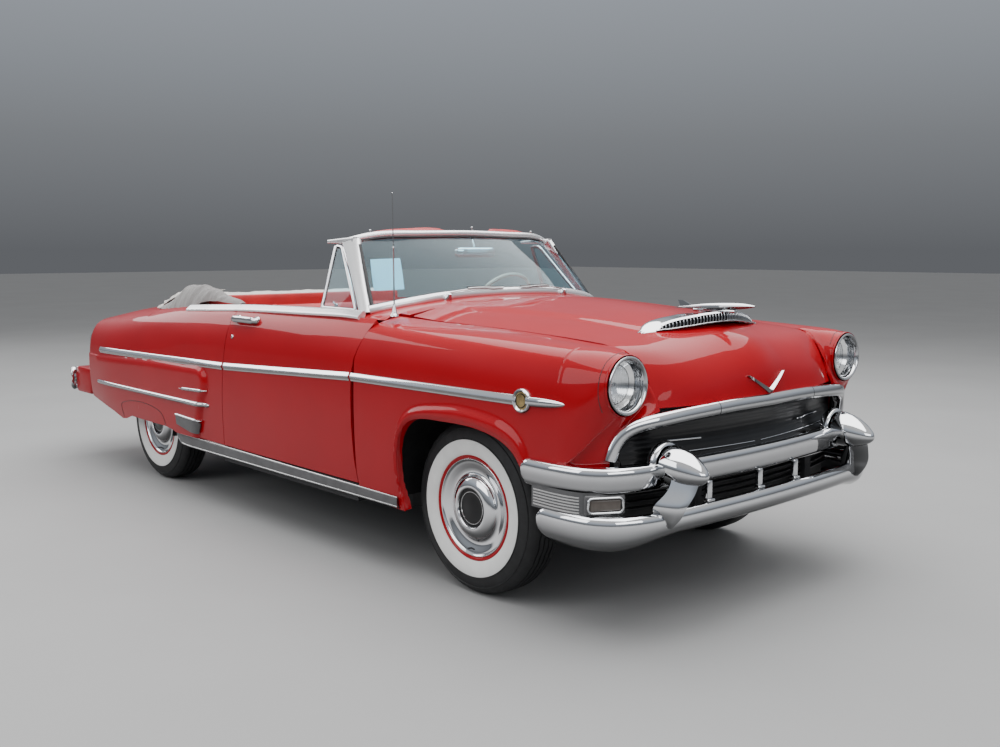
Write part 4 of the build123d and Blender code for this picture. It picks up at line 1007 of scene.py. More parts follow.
# guards: bullet, collar and pointed blade
gx0, gz0 = 589.0, 644.0
bullet = [(0, 74), (20, 74.5), (52, 71), (84, 63), (112, 52), (138, 38), (156, 25), (166, 13), (169, 0)]
bumper.add(lathe(bullet, (gx0, -2336, gz0 - 2), (0, -1, -0.17), 56), M["chrome"], mirror=True, sharp=70)
bumper.add(lathe([(-52, 70), (-44, 79), (-30, 82), (-16, 79), (-8, 72), (-8, 60), (-52, 60)], (gx0, -2336, gz0), (0, -1, -0.02), 56), M["chrome"], mirror=True, sharp=60)
blade = []
for z, w, yf, yb, gx in ((652, 52, -2430, -2392, 590), (612, 54, -2466, -2400, 594), (575, 56, -2470, -2398, 604), (532, 58, -2462, -2376, 628),
                        (496, 56, -2450, -2356, 646), (464, 40, -2434, -2360, 650), (438, 20, -2412, -2360, 655), (424, 6, -2400, -2362, 655)):
    sec = []
    for a in np.linspace(-1, 1, 13):
        sec.append((gx + a * w * (0.64 if a < 0 else 1.0), yf + (yb + 24 - yf) * abs(a) ** 1.35 * 0.85, z))
    sec += [(gx + w * 0.8, yb + 22, z), (gx - w * 0.5, yb + 22, z)]
    blade.append(sec)
bumper.add(loft(blade, n=28), M["chrome"], mirror=True, sharp=50)
# small posts between the bars
for x in (-407, -75, 180):
    bumper.add(rbox((x, -2374, 522), (28, 20, 78), 5, 3), M["chrome"])
    bumper.add(rbox((x, -2378, 487), (44, 28, 12), 5, 3), M["chrome"])
bumper.done()

# ---- panel between the bars: ribs at the corner, lamp nearer the middle
park = Piece("corner_panels", "body", "lamp_grey", ["parking_lamps"])
plan = curve([(925, -1962, 0), (928, -2060, 0), (925, -2130, 0), (904, -2200, 0), (846, -2254, 0), (716, -2290, 0), (640, -2304, 0)], 60)
P = np.array([[(p[0], p[1], z) for z in np.linspace(476, 562, 12)] for p in plan])
park.add(solid(sheet(P[:44]), 4), M["grey"], mirror=True)
for z in (488, 499, 510, 521, 532, 543):
    T = np.gradient(plan[:26], axis=0)
    nrm = np.stack([-T[:, 1], T[:, 0], np.zeros(26)], axis=1)
    nrm *= np.sign((nrm * np.array([1, -0.6, 0])).sum(1))[:, None]
    park.add(sweep([(p[0], p[1], z) for p in plan[1:26]], [(-2, -4.5), (4.5, -3), (4.5, 2.5), (-2, 4.5)], nrm[1:26]), M["steel"], mirror=True)
c0, c1 = plan[29], plan[41]
mid = (c0 + c1) / 2
yaw = math.atan2(c1[1] - c0[1], c1[0] - c0[0])
R = Matrix.Rotation(yaw, 4, "Z")
park.add(rbox((mid[0] + 2, mid[1] - 4, 519), (150, 22, 74), 9, 3, R), M["grey"], mirror=True)
nv = Vector((math.sin(yaw), -math.cos(yaw), 0))
if nv.y > 0:
    nv = -nv
lc = Vector((mid[0], mid[1], 519)) + nv * 13
park.add(rbox(lc, (118, 18, 44), 12, 4, R), M["clear_lens"], mirror=True)
ringp = [lc + nv * 8 + R.to_3x3() @ Vector((a, 0, b)) for a, b in rrect(128, 54, 16, 6)]
park.add(tube([tuple(v) for v in ringp], 4.5, 10, closed=True), M["chrome"], mirror=True)
park.done()

# ============================================================================ wheels
def tyre_bm():
    """Tyre about the x axis at the origin, outer face towards +x."""
    n = 240
    inner = [(-60, 205), (-78, 219), (-90, 244), (-93.5, 268), (-91, 298), (-85, 324), (-77, 342), (-68, 352.5), (-60, 358)]
    crown = []
    for g in (-37, -12.5, 12.5, 37):
        crown += [(g - 9.5, 361.6 if abs(g) > 30 else 362.8, 0), (g - 3.0, 361.6 if abs(g) > 30 else 362.8, 1), (g - 2.2, 355.5, 1), (g + 2.2, 355.5, 1), (g + 3.0, 361.6 if abs(g) > 30 else 362.8, 1)]
    crown += [(46.5, 361.4, 0), (54, 360, 0)]
    rows = [(a, r, 0, 0) for a, r in inner[:-2]] + [(-68, 352.5, 0, 1), (-61, 357.5, 0, 1)] + [(a, r, z, 0) for a, r, z in crown] + [(61, 357.5, 0, 1), (68, 352.5, 0, 1)] + [(-a, r, 0, 0) for a, r in inner[:-2][::-1]]
    P = np.zeros((n, len(rows), 3))
    for i in range(n):
        th = 2 * math.pi * i / n
        zig = 2.2 * (abs((i % 8) / 4 - 1) * 2 - 1)
        notch = -2.2 if i % 6 < 2 else 0
        for j, (a, r, z, s) in enumerate(rows):
            rr = r + (notch if s else 0)
            P[i, j] = (a + (zig if z else 0), rr * math.cos(th), rr * math.sin(th))
    bm = sheet(P, True, False)
    bmesh.ops.recalc_face_normals(bm, faces=bm.faces)
    return bm


def moved(bm, d):
    bmesh.ops.translate(bm, vec=d, verts=bm.verts)
    return bm


for axle, wx, wy in (("front", WHEEL_X_F, AXLE_F), ("rear", WHEEL_X_R, AXLE_R)):
    at_hub = (wx, wy, WHEEL_Z)
    t = Piece("tyre_" + axle + "_SIDE_rubber", "wheel_" + axle + "_SIDE", "tyre_rubber", ["tyre_" + axle + "_SIDE"])
    t.add(moved(tyre_bm(), at_hub), M["rubber"], sharp=50)
    # pale band on the outer wall, between two fine ribs
    t.add(lathe([(72, 214), (79.5, 219), (84.5, 224), (90.5, 241), (93.8, 258), (94.6, 270), (94.0, 281), (93.2, 284.6), (90, 285.2)], at_hub, (1, 0, 0), 128), M["white"])
    t.add(lathe([(91, 287), (93.6, 288.5), (93.2, 290.5), (90.5, 292)], at_hub, (1, 0, 0), 128), M["rubber"])
    t.add(lathe([(83, 328), (86.2, 330), (84.8, 333), (80.5, 334)], at_hub, (1, 0, 0), 128), M["rubber"])
    t.pair()
    w = Piece("wheel_" + axle + "_SIDE_cover", "wheel_" + axle + "_SIDE", "wheel_chrome", ["wheel_" + axle + "_SIDE"])
    # painted rim edge, chrome cover, black plain centre with a fine bright ring
    w.add(lathe([(58, 190), (64, 197), (74, 203), (80, 206.5), (83.5, 211), (83.5, 216), (80, 220), (72, 219)], at_hub, (1, 0, 0), 128), M["paint"])
    w.add(lathe([(66, 200), (74, 204.5), (78.5, 204.2), (79.5, 202), (77, 199), (72.5, 195), (71.8, 190), (69, 180), (64, 166), (60.5, 154), (60, 146), (62, 139), (66, 134.5), (71, 132.4),
                 (77, 129), (83, 120), (88, 109), (91.5, 98), (93, 90), (92.6, 84.5), (90, 81.5), (85, 80)], at_hub, (1, 0, 0), 144), M["chrome"], sharp=70)
    w.add(lathe([(85, 80.2), (82.5, 76), (82, 60), (84, 40), (87, 20), (88, 0)], at_hub, (1, 0, 0), 96), M["black"])
    w.add(lathe([(82.5, 69), (84.6, 68), (84.6, 66), (82.5, 65)], at_hub, (1, 0, 0), 96), M["steel"])
    # rim barrel, disc and drum behind
    w.add(lathe([(-72, 219), (-79, 216), (-80, 208), (-72, 200), (-60, 191), (-40, 184), (20, 178), (58, 189)], at_hub, (1, 0, 0), 96), M["dull"])
    w.add(lathe([(58, 180), (30, 168), (10, 150), (6, 120), (16, 90), (16, 22)], at_hub, (1, 0, 0), 72), M["paint_in"])
    w.add(lathe([(-78, 24), (-78, 138), (-70, 141), (-22, 141), (-18, 132), (-18, 24)], at_hub, (1, 0, 0), 72), M["alloy"])
    w.add(tube([(wx + 66, wy + 20, WHEEL_Z - 176), (wx + 86, wy + 21, WHEEL_Z - 174)], 3.6, 12, out=(0, 0, 1)), M["seal"])
    w.pair()

# ============================================================================ side panels
TRIM = ([-2102, -1897, -1400, -790, 384, 1300, 2084], [866, 861, 858, 853, 803, 786, 772])


def trim_z(y):
    return float(np.interp(y, *TRIM))


def skin_x(y, z):
    yy, zz = np.array([float(y)]), np.array([float(z)])
    return side_x(y, z) + float(bulge_shift(yy, zz)[0]) + (float(flare_shift(yy, zz)[0]) if y < -1100 else 0)


def strip(ys, zfun, prof, scale=None, xoff=0.0, n=60):
    """Trim strip lying on the side skin: profile u outwards, v up."""
    q = np.linspace(max(ys), min(ys), n)
    path = [(skin_x(y, zfun(y)) + xoff, y, zfun(y)) for y in q]
    sc = None if scale is None else [scale(y) for y in q]
    return sweep(path, prof, (1, 0, 0), scale=sc)


TRIM_UP = [(-3, -2), (10, -2), (9.4, 1), (7, 6), (3, 14), (0.5, 18.5), (-3, 19)]
TRIM_LOW = [(-3, -19), (3, -19), (4, -16.5), (3.6, -14.5), (6.5, -9), (9.5, -4), (10.5, -2), (-3, -2)]


def main_trim(piece, y0, y1, n):
    piece.add(strip((y0, y1), trim_z, TRIM_UP, n=n), M["chrome"], sharp=55)
    piece.add(strip((y0, y1), trim_z, TRIM_LOW, n=n), M["steel"], sharp=55)


# ---- trim of the front fender: strip, plain round medallion, bullet tip
ft = Piece("fender_trim_SIDE", "body", "chrome")
main_trim(ft, -800, -1870, 50)
ft.add(strip((-1925, -2104), trim_z, smooth_prof([(-4, -18), (6, -17), (11, -8), (11, 6), (6, 17), (-4, 18)], 28),
             scale=lambda y: (max(0.15, 1.15 * math.sqrt(max(0, 1 - ((-1925 - y) / 180) ** 2))), max(0.05, math.sqrt(max(0, 1 - ((-1925 - y) / 180) ** 2.2)))), n=40), M["chrome"])
mc = (skin_x(-1897, 861) - 4, -1897, 861)
ft.add(lathe([(0, 47), (9, 46.5), (14, 43), (15, 39), (12, 35), (9, 33)], mc, (1, 0, 0.03), 64), M["chrome"])
ft.add(lathe([(9, 34), (10, 30), (9, 26), (11, 24), (11.5, 10), (13, 0)], mc, (1, 0, 0.03), 64), M["gold"])
ft.add(lathe([(10, 27.5), (12, 26.5), (12, 24.5), (10, 23.5)], mc, (1, 0, 0.03), 64), M["black"])
ft.pair()

# ---- doors
door = Piece("door_SIDE_skin", "door_SIDE", "body_paint", ["door_SIDE"])
bm = facing(sheet(side_grid(-900, 440, 10, TOP_DOOR, 100)), (1, 0, 0))
knife(bm, DOOR)
hem(bm, 24, 1.2, skip=lambda c: c.z > 1108)
door.add(bm, M["paint"])
# belt moulding, ledge and slot for the side glass
belt_y, belt_z = [-790, -754, -494, -230, 315, 345], [1121, 1124, 1127, 1123, 1113, 1112]
belt = [(840, y, float(nat(belt_y, belt_z, y)[0])) for y in np.linspace(346, -640, 60)] + [(840 - 0.0012 * max(0, -640 - y) ** 1.6, y, float(nat(belt_y, belt_z, y)[0])) for y in np.linspace(-655, -756, 10)]
BELT_PROF = smooth_prof([(-20, -16), (6, -23), (14, -20), (16, -13), (8, 0), (-4, 13), (-14, 20), (-22, 16)], 36)
door.add(sweep(belt, BELT_PROF, (1, 0, 0.15)), M["bright"], sharp=70)
door.add(sweep([(800, y, 1103) for y in np.linspace(343, -645, 30)], rrect(44, 12, 5), (1, 0, 0)), M["vinyl"])
door.add(sweep([(821, y, 1108) for y in np.linspace(340, -640, 30)], rrect(5, 12, 2), (1, 0, 0)), M["seal"])
# inner trim: upper and lower panels with raised pleats, arm rest, handles
ys = np.linspace(-640, 395, 70)
zs = np.array([1096, 1060, 1020, 985, 955, 900, 820, 740, 700, 640, 560, 480, 400, 386])
xz = np.interp(zs, [386, 700, 955, 1020, 1096], [804, 806, 802, 780, 776])
P = np.zeros((len(ys), len(zs), 3))
for i, y in enumerate(ys):
    for j, z in enumerate(zs):
        pl = 4.5 * abs(math.sin(math.pi * (y + 640) / 74)) if 700 < z < 960 else 0
        P[i, j] = (xz[j] - pl, min(y, np.interp(z, [386, 640, 800, 960, 1110], [408, 388, 370, 350, 334])), z)
door.add(solid(sheet(P), 3), M["vinyl"])
P = np.array([[(808, y, z) for z in (792, 700, 560, 386)] for y in np.linspace(-640, np.interp(386, [371, 640], [-812, -786]), 8)])
door.add(solid(sheet(P), 3), M["vinyl"])
door.add(rbox((782, -130, 800), (44, 330, 40), 16, 4), M["vinyl2"])
for z in (968, 696):
    door.add(sweep([(798 if z > 900 else 800, y, z) for y in np.linspace(-630, 372, 30)], rrect(5, 9, 2), (-1, 0, 0)), M["chrome"])
for y, z in ((-330, 870), (130, 905)):
    door.add(lathe([(0, 20), (6, 19), (10, 12), (24, 9), (26, 0)], (798, y, z), (-1, 0, 0), 32), M["chrome"])
    door.add(sweep([(777, y, z), (774, y + 34, z - 12), (772, y + 74, z - 22)], rrect(7, 13, 3), (-1, 0, 0)), M["chrome"])
door.add(lathe([(0, 11), (16, 10), (20, 0)], (772, -256, 848), (-1, 0, 0), 24), M["cream"])
# pull handle and lock
hz = 1057
hx = skin_x(186, hz)
bar_path = [(hx + dx, y, hz + dz2) for y, dx, dz2 in ((306, 22, 0), (286, 27, 1), (230, 29, 2), (170, 29, 2), (112, 27, 1), (84, 21, 0), (68, 8, -2))]
door.add(sweep(curve(bar_path, 36), smooth_prof([(-6, -15), (4, -16), (8, -6), (8, 8), (3, 17), (-6, 16)], 24), (1, 0, 0), scale=[(1, 1 if 0.08 < t < 0.86 else 0.72) for t in np.linspace(0, 1, 36)]), M["chrome"])
for y in (284, 92):
    door.add(loft([[(skin_x(y, hz) - 3 + k, y + a * f2, hz + b * f2) for a, b in rrect(46, 40, 12, 4)] for k, f2 in ((0, 1.05), (5, 1.0), (12, 0.74), (24, 0.52))]), M["chrome"])
door.add(lathe([(0, 12), (7, 11.5), (9, 9), (10, 0)], (skin_x(292, hz) + 22, 297, hz), (0.4, 1, 0), 32), M["steel"])
door.add(lathe([(-2, 11), (3, 10.5), (5, 8), (5.5, 0)], (skin_x(297, 965), 297, 965), (1, 0, 0.12), 32), M["chrome"])
main_trim(door, 374, -786, 60)
door.pair()

# ---- vent windows
vent = Piece("vent_window_SIDE_frame", "door_SIDE", "glass", ["vent_window_SIDE"])
VC = [np.array(p, float) for p in ((775, -346, 1140), (771, -622, 1137), (672, -372, 1432), (670, -322, 1436))]
ring_pts = []
for a, b, k in ((0, 1, 22), (1, 2, 22), (2, 3, 5), (3, 0, 22)):
    for t in np.linspace(0, 1, k, endpoint=False):
        ring_pts.append(VC[a] + (VC[b] - VC[a]) * t)
ring_pts = np.array(ring_pts)
for _ in range(1):
    ring_pts = (np.roll(ring_pts, 1, axis=0) + 2 * ring_pts + np.roll(ring_pts, -1, axis=0)) / 4
vent.add(sweep(ring_pts, rrect(15, 13, 4), (0.95, 0, 0.31), closed=True), M["chrome"])
ctr = ring_pts.mean(axis=0)
inner_ring = ctr + (ring_pts - ctr) * 0.95
vent.add(sweep(inner_ring, rrect(9, 5, 2), (0.95, 0, 0.31), closed=True), M["seal"])
bm = bmesh.new()
for off in (-2.2, 2.2):
    vs = [bm.verts.new(tuple(p + np.array((off * 0.95, 0, off * 0.31)))) for p in inner_ring]
    bm.faces.new(vs if off > 0 else vs[::-1])
bm.verts.ensure_lookup_table()
nr = len(inner_ring)
for i in range(nr):
    bm.faces.new([bm.verts[i], bm.verts[(i + 1) % nr], bm.verts[nr + (i + 1) % nr], bm.verts[nr + i]])
bmesh.ops.recalc_face_normals(bm, faces=bm.faces)
vent.add(bm, M["glass"])
vent.add(sweep([VC[0] + (0, 9, -40), VC[0] + (0, 9, -10), VC[3] + (0, 8, -2)], rrect(16, 12, 4), (0.95, 0, 0.31)), M["chrome"])
vent.add(lathe([(0, 9), (10, 8), (12, 0)], (762, -440, 1152), (-1, 0, 0), 20), M["chrome"])
vent.add(sweep([(752, -440, 1152), (748, -414, 1158), (746, -398, 1164)], rrect(5, 9, 2), (-1, 0, 0)), M["chrome"])
vent.pair()

# ---- quarter panels
quarter = Piece("quarter_panel_SIDE_skin", "body", "body_paint", ["quarter_panel_SIDE"])
bm = facing(sheet(side_grid(340, 1472, 9, TOP_MID, 104, bulge_shift)), (1, 0, 0))
knife(bm, [((a, max(b, 371)) if b < 371 and a < 1000 else (a, b)) for a, b in QUARTER])
hem(bm, 20, 1.2, skip=lambda c: c.y > 1471)
quarter.add(bm, M["paint"])
G2 = side_grid(1472, 2305, 9, TOP_REAR, 120, bulge_shift)
# rounded closing end that carries the lamp
last = G2[-1]
seg = np.concatenate([[0], np.cumsum(np.linalg.norm(np.diff(last, axis=0), axis=1))])
endp = np.array([(842, 446), (862, 500), (874, 620), (871, 760), (860, 830), (843, 875), (812, 915), (762, 938), (572, 926)], float)
es = np.concatenate([[0], np.cumsum(np.linalg.norm(np.diff(endp, axis=0), axis=1))])
eq = nat(es / es[-1], endp, seg / seg[-1])
rows2 = []
for y, t, inset in ((2322, 0.22, 0), (2340, 0.55, 0), (2354, 0.9, 3), (2360, 1.0, 9), (2361, 1.0, 18)):
    xz2 = last[:, [0, 2]] * (1 - t) + eq * t
    c0 = np.array([700.0, 700.0])
    dv = xz2 - c0
    xz2 = xz2 - dv / np.linalg.norm(dv, axis=1)[:, None] * inset
    rows2.append(np.stack([xz2[:, 0], np.full(len(xz2), float(y)), xz2[:, 1]], axis=1))
bm = facing(sheet(np.concatenate([G2, np.array(rows2)])), (1, 0.2, 0))
rim = [v for v in bm.verts if abs(v.co.y - 2361) < 0.01]
rim_pts = rows2[-1]
knife(bm, [(y, z) for y, z in QUARTER[:-2]] + [(2305, 446), (2420, 430), (2420, 1200)])
quarter.add(bm, M["paint"])
cap = [tuple(p) for p in rim_pts[::3]] + [(572, 2361, 640), (660, 2361, 470)]
bm = bmesh.new()
bm.faces.new([bm.verts.new(p) for p in cap])
bmesh.ops.recalc_face_normals(bm, faces=bm.faces)
quarter.add(solid(bm, 3), M["paint"])
quarter.add(rbox((574, 2240, 780), (8, 240, 290), 2), M["paint_in"])
# skirt seam, lower spear, short dash, stone pad with its bright lip
sk = curve([(0, 1728, 372), (0, 1738, 412), (0, 1736, 452), (0, 1700, 470), (0, 1651, 480), (0, 1481, 499), (0, 1284, 494), (0, 1180, 478), (0, 1139, 462), (0, 1112, 430), (0, 1098, 396)], 70)
quarter.add(sweep([(skin_x(y, z) + 0.5, y, z) for _, y, z in sk], rrect(2.6, 2.6, 1), (1, 0, 0)), M["seal"])
spear = lambda y: float(np.interp(y, [558, 2125], [572, 564]))
quarter.add(strip((2125, 558), spear, smooth_prof([(-4, -13), (5, -13), (13, -5), (14, 3), (7, 12), (-4, 13)], 26),
                  scale=lambda y: (1, 1) if 585 < y < 2100 else (max(0.3, 1 - (1 - min((y - 556) / 30, (2128 - y) / 28, 1)) ** 2), max(0.3, 1 - (1 - min((y - 556) / 30, (2128 - y) / 28, 1)) ** 2)), n=110), M["chrome"])
dash = lambda y: float(np.interp(y, [575, 859], [652, 641]))
quarter.add(strip((859, 575), dash, smooth_prof([(-3, -8), (5, -7), (8, 0), (5, 7), (-3, 8)], 20), scale=lambda y: (1, max(0.25, min(1, (y - 570) / 40, (864 - y) / 40))), n=40), M["chrome"])
pad = [(928, 478), (668, 470), (676, 430), (700, 396), (762, 402), (860, 418), (928, 428)]
Pp = np.zeros((40, 10, 3))
for i, y in enumerate(np.linspace(926, 672, 40)):
    lo = float(np.interp(y, [672, 700, 762, 860, 928], [444, 398, 404, 419, 430]))
    hi = float(np.interp(y, [668, 928], [469, 477]))
    for j, z in enumerate(np.linspace(lo, hi, 10)):
        Pp[i, j] = (skin_x(y, z) + 6, y, z)
quarter.add(solid(sheet(Pp), 6), M["grey"])
padlip = lambda y: float(np.interp(y, [660, 932], [474, 482]))
quarter.add(strip((934, 664), padlip, smooth_prof([(-3, -7), (8, -7), (12, 0), (8, 7), (-3, 7)], 20), scale=lambda y: (1, max(0.3, min(1, (y - 660) / 30))), n=40), M["chrome"])
main_trim(quarter, 2084, 394, 110)
# belt moulding carried back beside the rear seat, inner trim and pillar
bz = lambda y: float(np.interp(y, [350, 829, 1010], [1112, 1092, 1084]))
quarter.add(sweep([(838 - 0.06 * max(0, y - 700) ** 0.9, y, bz(y)) for y in np.linspace(965, 352, 40)], BELT_PROF, (1, 0, 0.15)), M["bright"], sharp=70)
quarter.add(sweep([(770, y, bz(y) - 10) for y in np.linspace(1010, 356, 24)], rrect(90, 14, 6), (1, 0, 0)), M["vinyl"])
P = np.zeros((50, 8, 3))
for i, y in enumerate(np.linspace(446, 1045, 50)):
    for j, z in enumerate((1085, 1000, 960, 940, 700, 560, 440, 330)):
        P[i, j] = (738 - (4.5 * abs(math.sin(math.pi * (y - 446) / 74)) if 560 < z < 950 else 0), y, z)
quarter.add(solid(sheet(P), 3), M["vinyl"])
quarter.add(sweep([(734, y, 968) for y in np.linspace(450, 1040, 24)], rrect(5, 9, 2), (-1, 0, 0)), M["chrome"])
quarter.add(rbox((800, 456, 690), (122, 18, 720), 4), M["paint_in"])
# wheelhouse
wh = curve([(1085, 330), (1085, 560), (1120, 700), (1240, 772), (1500, 786), (1760, 772), (1890, 700), (1925, 560), (1925, 420)], 40)
house = np.stack([np.stack([np.full(40, x), wh[:, 0], wh[:, 1]], axis=1) for x in np.linspace(900, 572, 10)])
quarter.add(solid(sheet(house), 2), M["dull"])
quarter.add(slab([(1085, 330), (1085, 560), (1120, 700), (1240, 772), (1500, 786), (1760, 772), (1890, 700), (1925, 560), (1925, 420), (1620, 420), (1620, 500), (1380, 500), (1380, 330)], 0, 562, 572, 0), M["dull"])
quarter.pair()

# ---- sill moulding
sill = Piece("sill_moulding_SIDE", "body", "lamp_grey")
top_z = lambda y: float(np.interp(y, [-1122, 856, 985], [355, 366, 367]))
bot_z = lambda y: float(np.interp(y, [-1122, 856, 940, 985], [315, 309, 316, 356]))
ysl = np.linspace(-1121, 983, 86)
P = np.array([[(side_x(y, 380) + dx, y, bot_z(y) + f2 * (top_z(y) - bot_z(y))) for f2, dx in ((0.04, -2), (0.12, 3), (0.5, 5), (0.88, 4), (0.96, 0))] for y in ysl])
sill.add(solid(sheet(P, flip=True), 4), M["grey"])
for fz, off in ((top_z, 0), (bot_z, 0)):
    sill.add(sweep([(side_x(y, 380) + 4, y, fz(y)) for y in ysl[::-1]], smooth_prof([(-4, -3.4), (3, -3), (4, 0), (3, 3), (-4, 3.4)], 16), (1, 0, 0)), M["steel"])
sill.add(sweep([(side_x(y, 380) - 14, y, bot_z(y) - 6) for y in ysl[::-1]], rrect(26, 8, 3), (1, 0, 0)), M["dull"])
sill.pair()

# ============================================================================ rear of the body
def outline_sheet(stations, n_x, n_s, x0, x1):
    """Sheet through side profiles [(x, [(y, z), ...])], mirrored about x = 0."""
    xs = [s[0] for s in stations]
    pts = np.array([s[1] for s in stations], float)
    if xs[0] == 0:
        full_x = [-x for x in xs[:0:-1]] + xs
        full_p = np.concatenate([pts[:0:-1], pts])
    q = np.linspace(x0, x1, n_x)
    H = nat(full_x, full_p, q)
    d = np.concatenate([[0], np.cumsum(np.linalg.norm(np.diff(H.mean(axis=0), axis=0), axis=1))])
    out = np.zeros((n_x, n_s, 3))
    for i in range(n_x):
        s = nat(d, H[i], np.linspace(0, d[-1], n_s))
        out[i, :, 0], out[i, :, 1:] = q[i], s
    return out


LID = [(0, [(1640, 1112), (1900, 1087), (2150, 1040), (2300, 978), (2385, 890), (2420, 790), (2428, 662)]),
       (300, [(1640, 1104), (1900, 1078), (2150, 1028), (2296, 965), (2380, 880), (2414, 785), (2422, 662)]),
       (566, [(1640, 1074), (1900, 1046), (2150, 998), (2285, 945), (2352, 868), (2388, 780), (2396, 662)])]
lid = Piece("trunk_lid_skin", "trunk_lid", "body_paint", ["trunk_lid"])
LP = outline_sheet(LID, 91, 110, -566, 566)
bm = facing(sheet(LP), (0, 0.6, 1))
hem(bm, 18, 3)
lid.add(bm, M["paint"])
Li = LP[3:-3:4, 3:-3:4].copy()
Li[:, :, 2] -= 20
Li[:, :, 1] -= 12
lid.add(solid(facing(sheet(Li), (0, 0.6, 1)), 2), M["paint_in"])
for x in (-400, 0, 400):
    k = int(round((x + 566) / 1132 * 90))
    lid.add(sweep([(x, LP[k, j, 1] - 16, LP[k, j, 2] - 26) for j in range(4, 84, 5)], rrect(14, 60, 6), (0, 0.5, 1)), M["paint_in"])
# plain handle and lock low on the lid, and a slim bright rib above
hk = [(x, float(np.interp(x, [0, 60, 130], [2432, 2430, 2424])), 742) for x in np.linspace(-120, 120, 2)]
lid.add(loft([[(a * 1.0, 2424 + k, 742 + b) for a, b in rrect(210 * f2, 46 * f2, 18 * f2, 5)] for k, f2 in ((-8, 1.0), (6, 1.0), (16, 0.9), (22, 0.7))]), M["chrome"])
lid.add(lathe([(0, 13), (5, 12), (7, 8), (7.5, 0)], (0, 2446, 742), (0, 1, 0), 32), M["steel"])
rib = [LP[45 + k, 78] + np.array((0, 3, 2)) for k in range(-20, 21)]
lid.add(sweep(rib, smooth_prof([(-3, -7), (4, -6), (6, 0), (4, 6), (-3, 7)], 18), (0, 1, 0.5)), M["chrome"])
lid.done()

deck = Piece("rear_deck_skin", "body", "body_paint", ["rear_deck"])
DECKP = [(0, [(1471, 1121.5), (1550, 1119), (1632, 1112.5)]), (300, [(1471, 1113), (1550, 1110.5), (1632, 1104)]), (571, [(1471, 1087.5), (1550, 1083), (1632, 1073.5)])]
bm = facing(sheet(outline_sheet(DECKP, 80, 16, -571, 571)), (0, 0, 1))
hem(bm, 22, 2.5)
deck.add(bm, M["paint"])
deck.add(rbox((0, 1481, 800), (1108, 16, 516), 2), M["paint_in"])
front_lip = [(x, 1474, float(nat([-571, -300, 0, 300, 571], [1086, 1112, 1120, 1112, 1086], x)[0])) for x in np.linspace(-566, 566, 60)]
deck.add(sweep(front_lip, smooth_prof([(-4, -5), (6, -4), (8, 2), (4, 7), (-4, 6)], 20), (0, -0.4, 1)), M["chrome"])
for x in np.linspace(-520, 520, 14):
    deck.add(lathe([(0, 7), (4, 6.6), (6, 4), (6.4, 0)], (x, 1492, float(nat([-571, -300, 0, 300, 571], [1088, 1113.5, 1121.5, 1113.5, 1088], x)[0])), (0, 0, 1), 20), M["chrome"])
deck.done()

tail = Piece("tail_panel_skin", "body", "body_paint", ["tail_panel"])
tail.add(loft([[(x, 2500 + a, 530 + b) for a, b in rrect(266 * f2, 176 * f2, 34, 8)] for x, f2 in
               [(-871, 0.86), (-868, 0.95), (-858, 1)] + [(x, 1) for x in np.linspace(-840, 840, 21)] + [(858, 1), (868, 0.95), (871, 0.86)]]), M["paint"])
tail.add(rbox((0, 2382, 626), (1128, 32, 54), 6), M["paint"])
# floor of the trunk's rear corners
tail.add(rbox((694, 2110, 534), (290, 400, 4), 1), M["dull"], mirror=True)
tail.done()

lampr = Piece("tail_lamp_lenses", "body", "tail_lens", ["tail_lamps"])
bez = [(2362, 641), (2395, 643), (2424, 657), (2437, 740), (2438, 800), (2428, 834), (2400, 858), (2362, 866)]
lens = [(2376, 668), (2408, 670), (2426, 690), (2440, 745), (2442, 792), (2434, 816), (2410, 836), (2376, 842)]
lampr.add(slab(bez, 0, 727, 843, 16, 5), M["chrome"], mirror=True)
lampr.add(slab(lens, 0, 746, 824, 14, 5), M["red_lens"], mirror=True)
for z in (730, 782):
    lampr.add(rbox((785, 2436, z), (80, 22, 7), 3), M["chrome"], mirror=True)
lampr.add(rbox((785, 2418, 700), (70, 34, 44), 8, 3), M["clear_lens"], mirror=True)
lampr.done()

rear = Piece("rear_bumper_chrome", "body", "chrome", ["rear_bumper"])
RB = [(0, -2729, 0), (300, -2728, 0), (600, -2725, 0), (800, -2716, 0), (862, -2702, 0), (892, -2676, 0), (899, -2645, 0)]
rprof = smooth_prof([(-36, 72), (-20, 79), (-4, 66), (0, 38), (-9, 12), (-11, -2), (-5, -22), (0, -42), (-6, -66), (-22, -79), (-36, -72), (-24, -46), (-28, 0), (-24, 46)], 60)
bm = bar(RB, 530, rprof, 150, 26)
for v in bm.verts:
    v.co.y = -v.co.y
bmesh.ops.reverse_faces(bm, faces=bm.faces)
rear.add(bm, M["chrome"], sharp=70)
for x in (-430, 430):
    rear.add(loft([[(x + a, 2700 + yy, 540 + b) for a, b in rrect(92 * f2, 150 * f2, 30 * f2, 6)] for yy, f2 in ((-10, 1.0), (16, 1.0), (26, 0.86), (31, 0.55))]), M["chrome"])
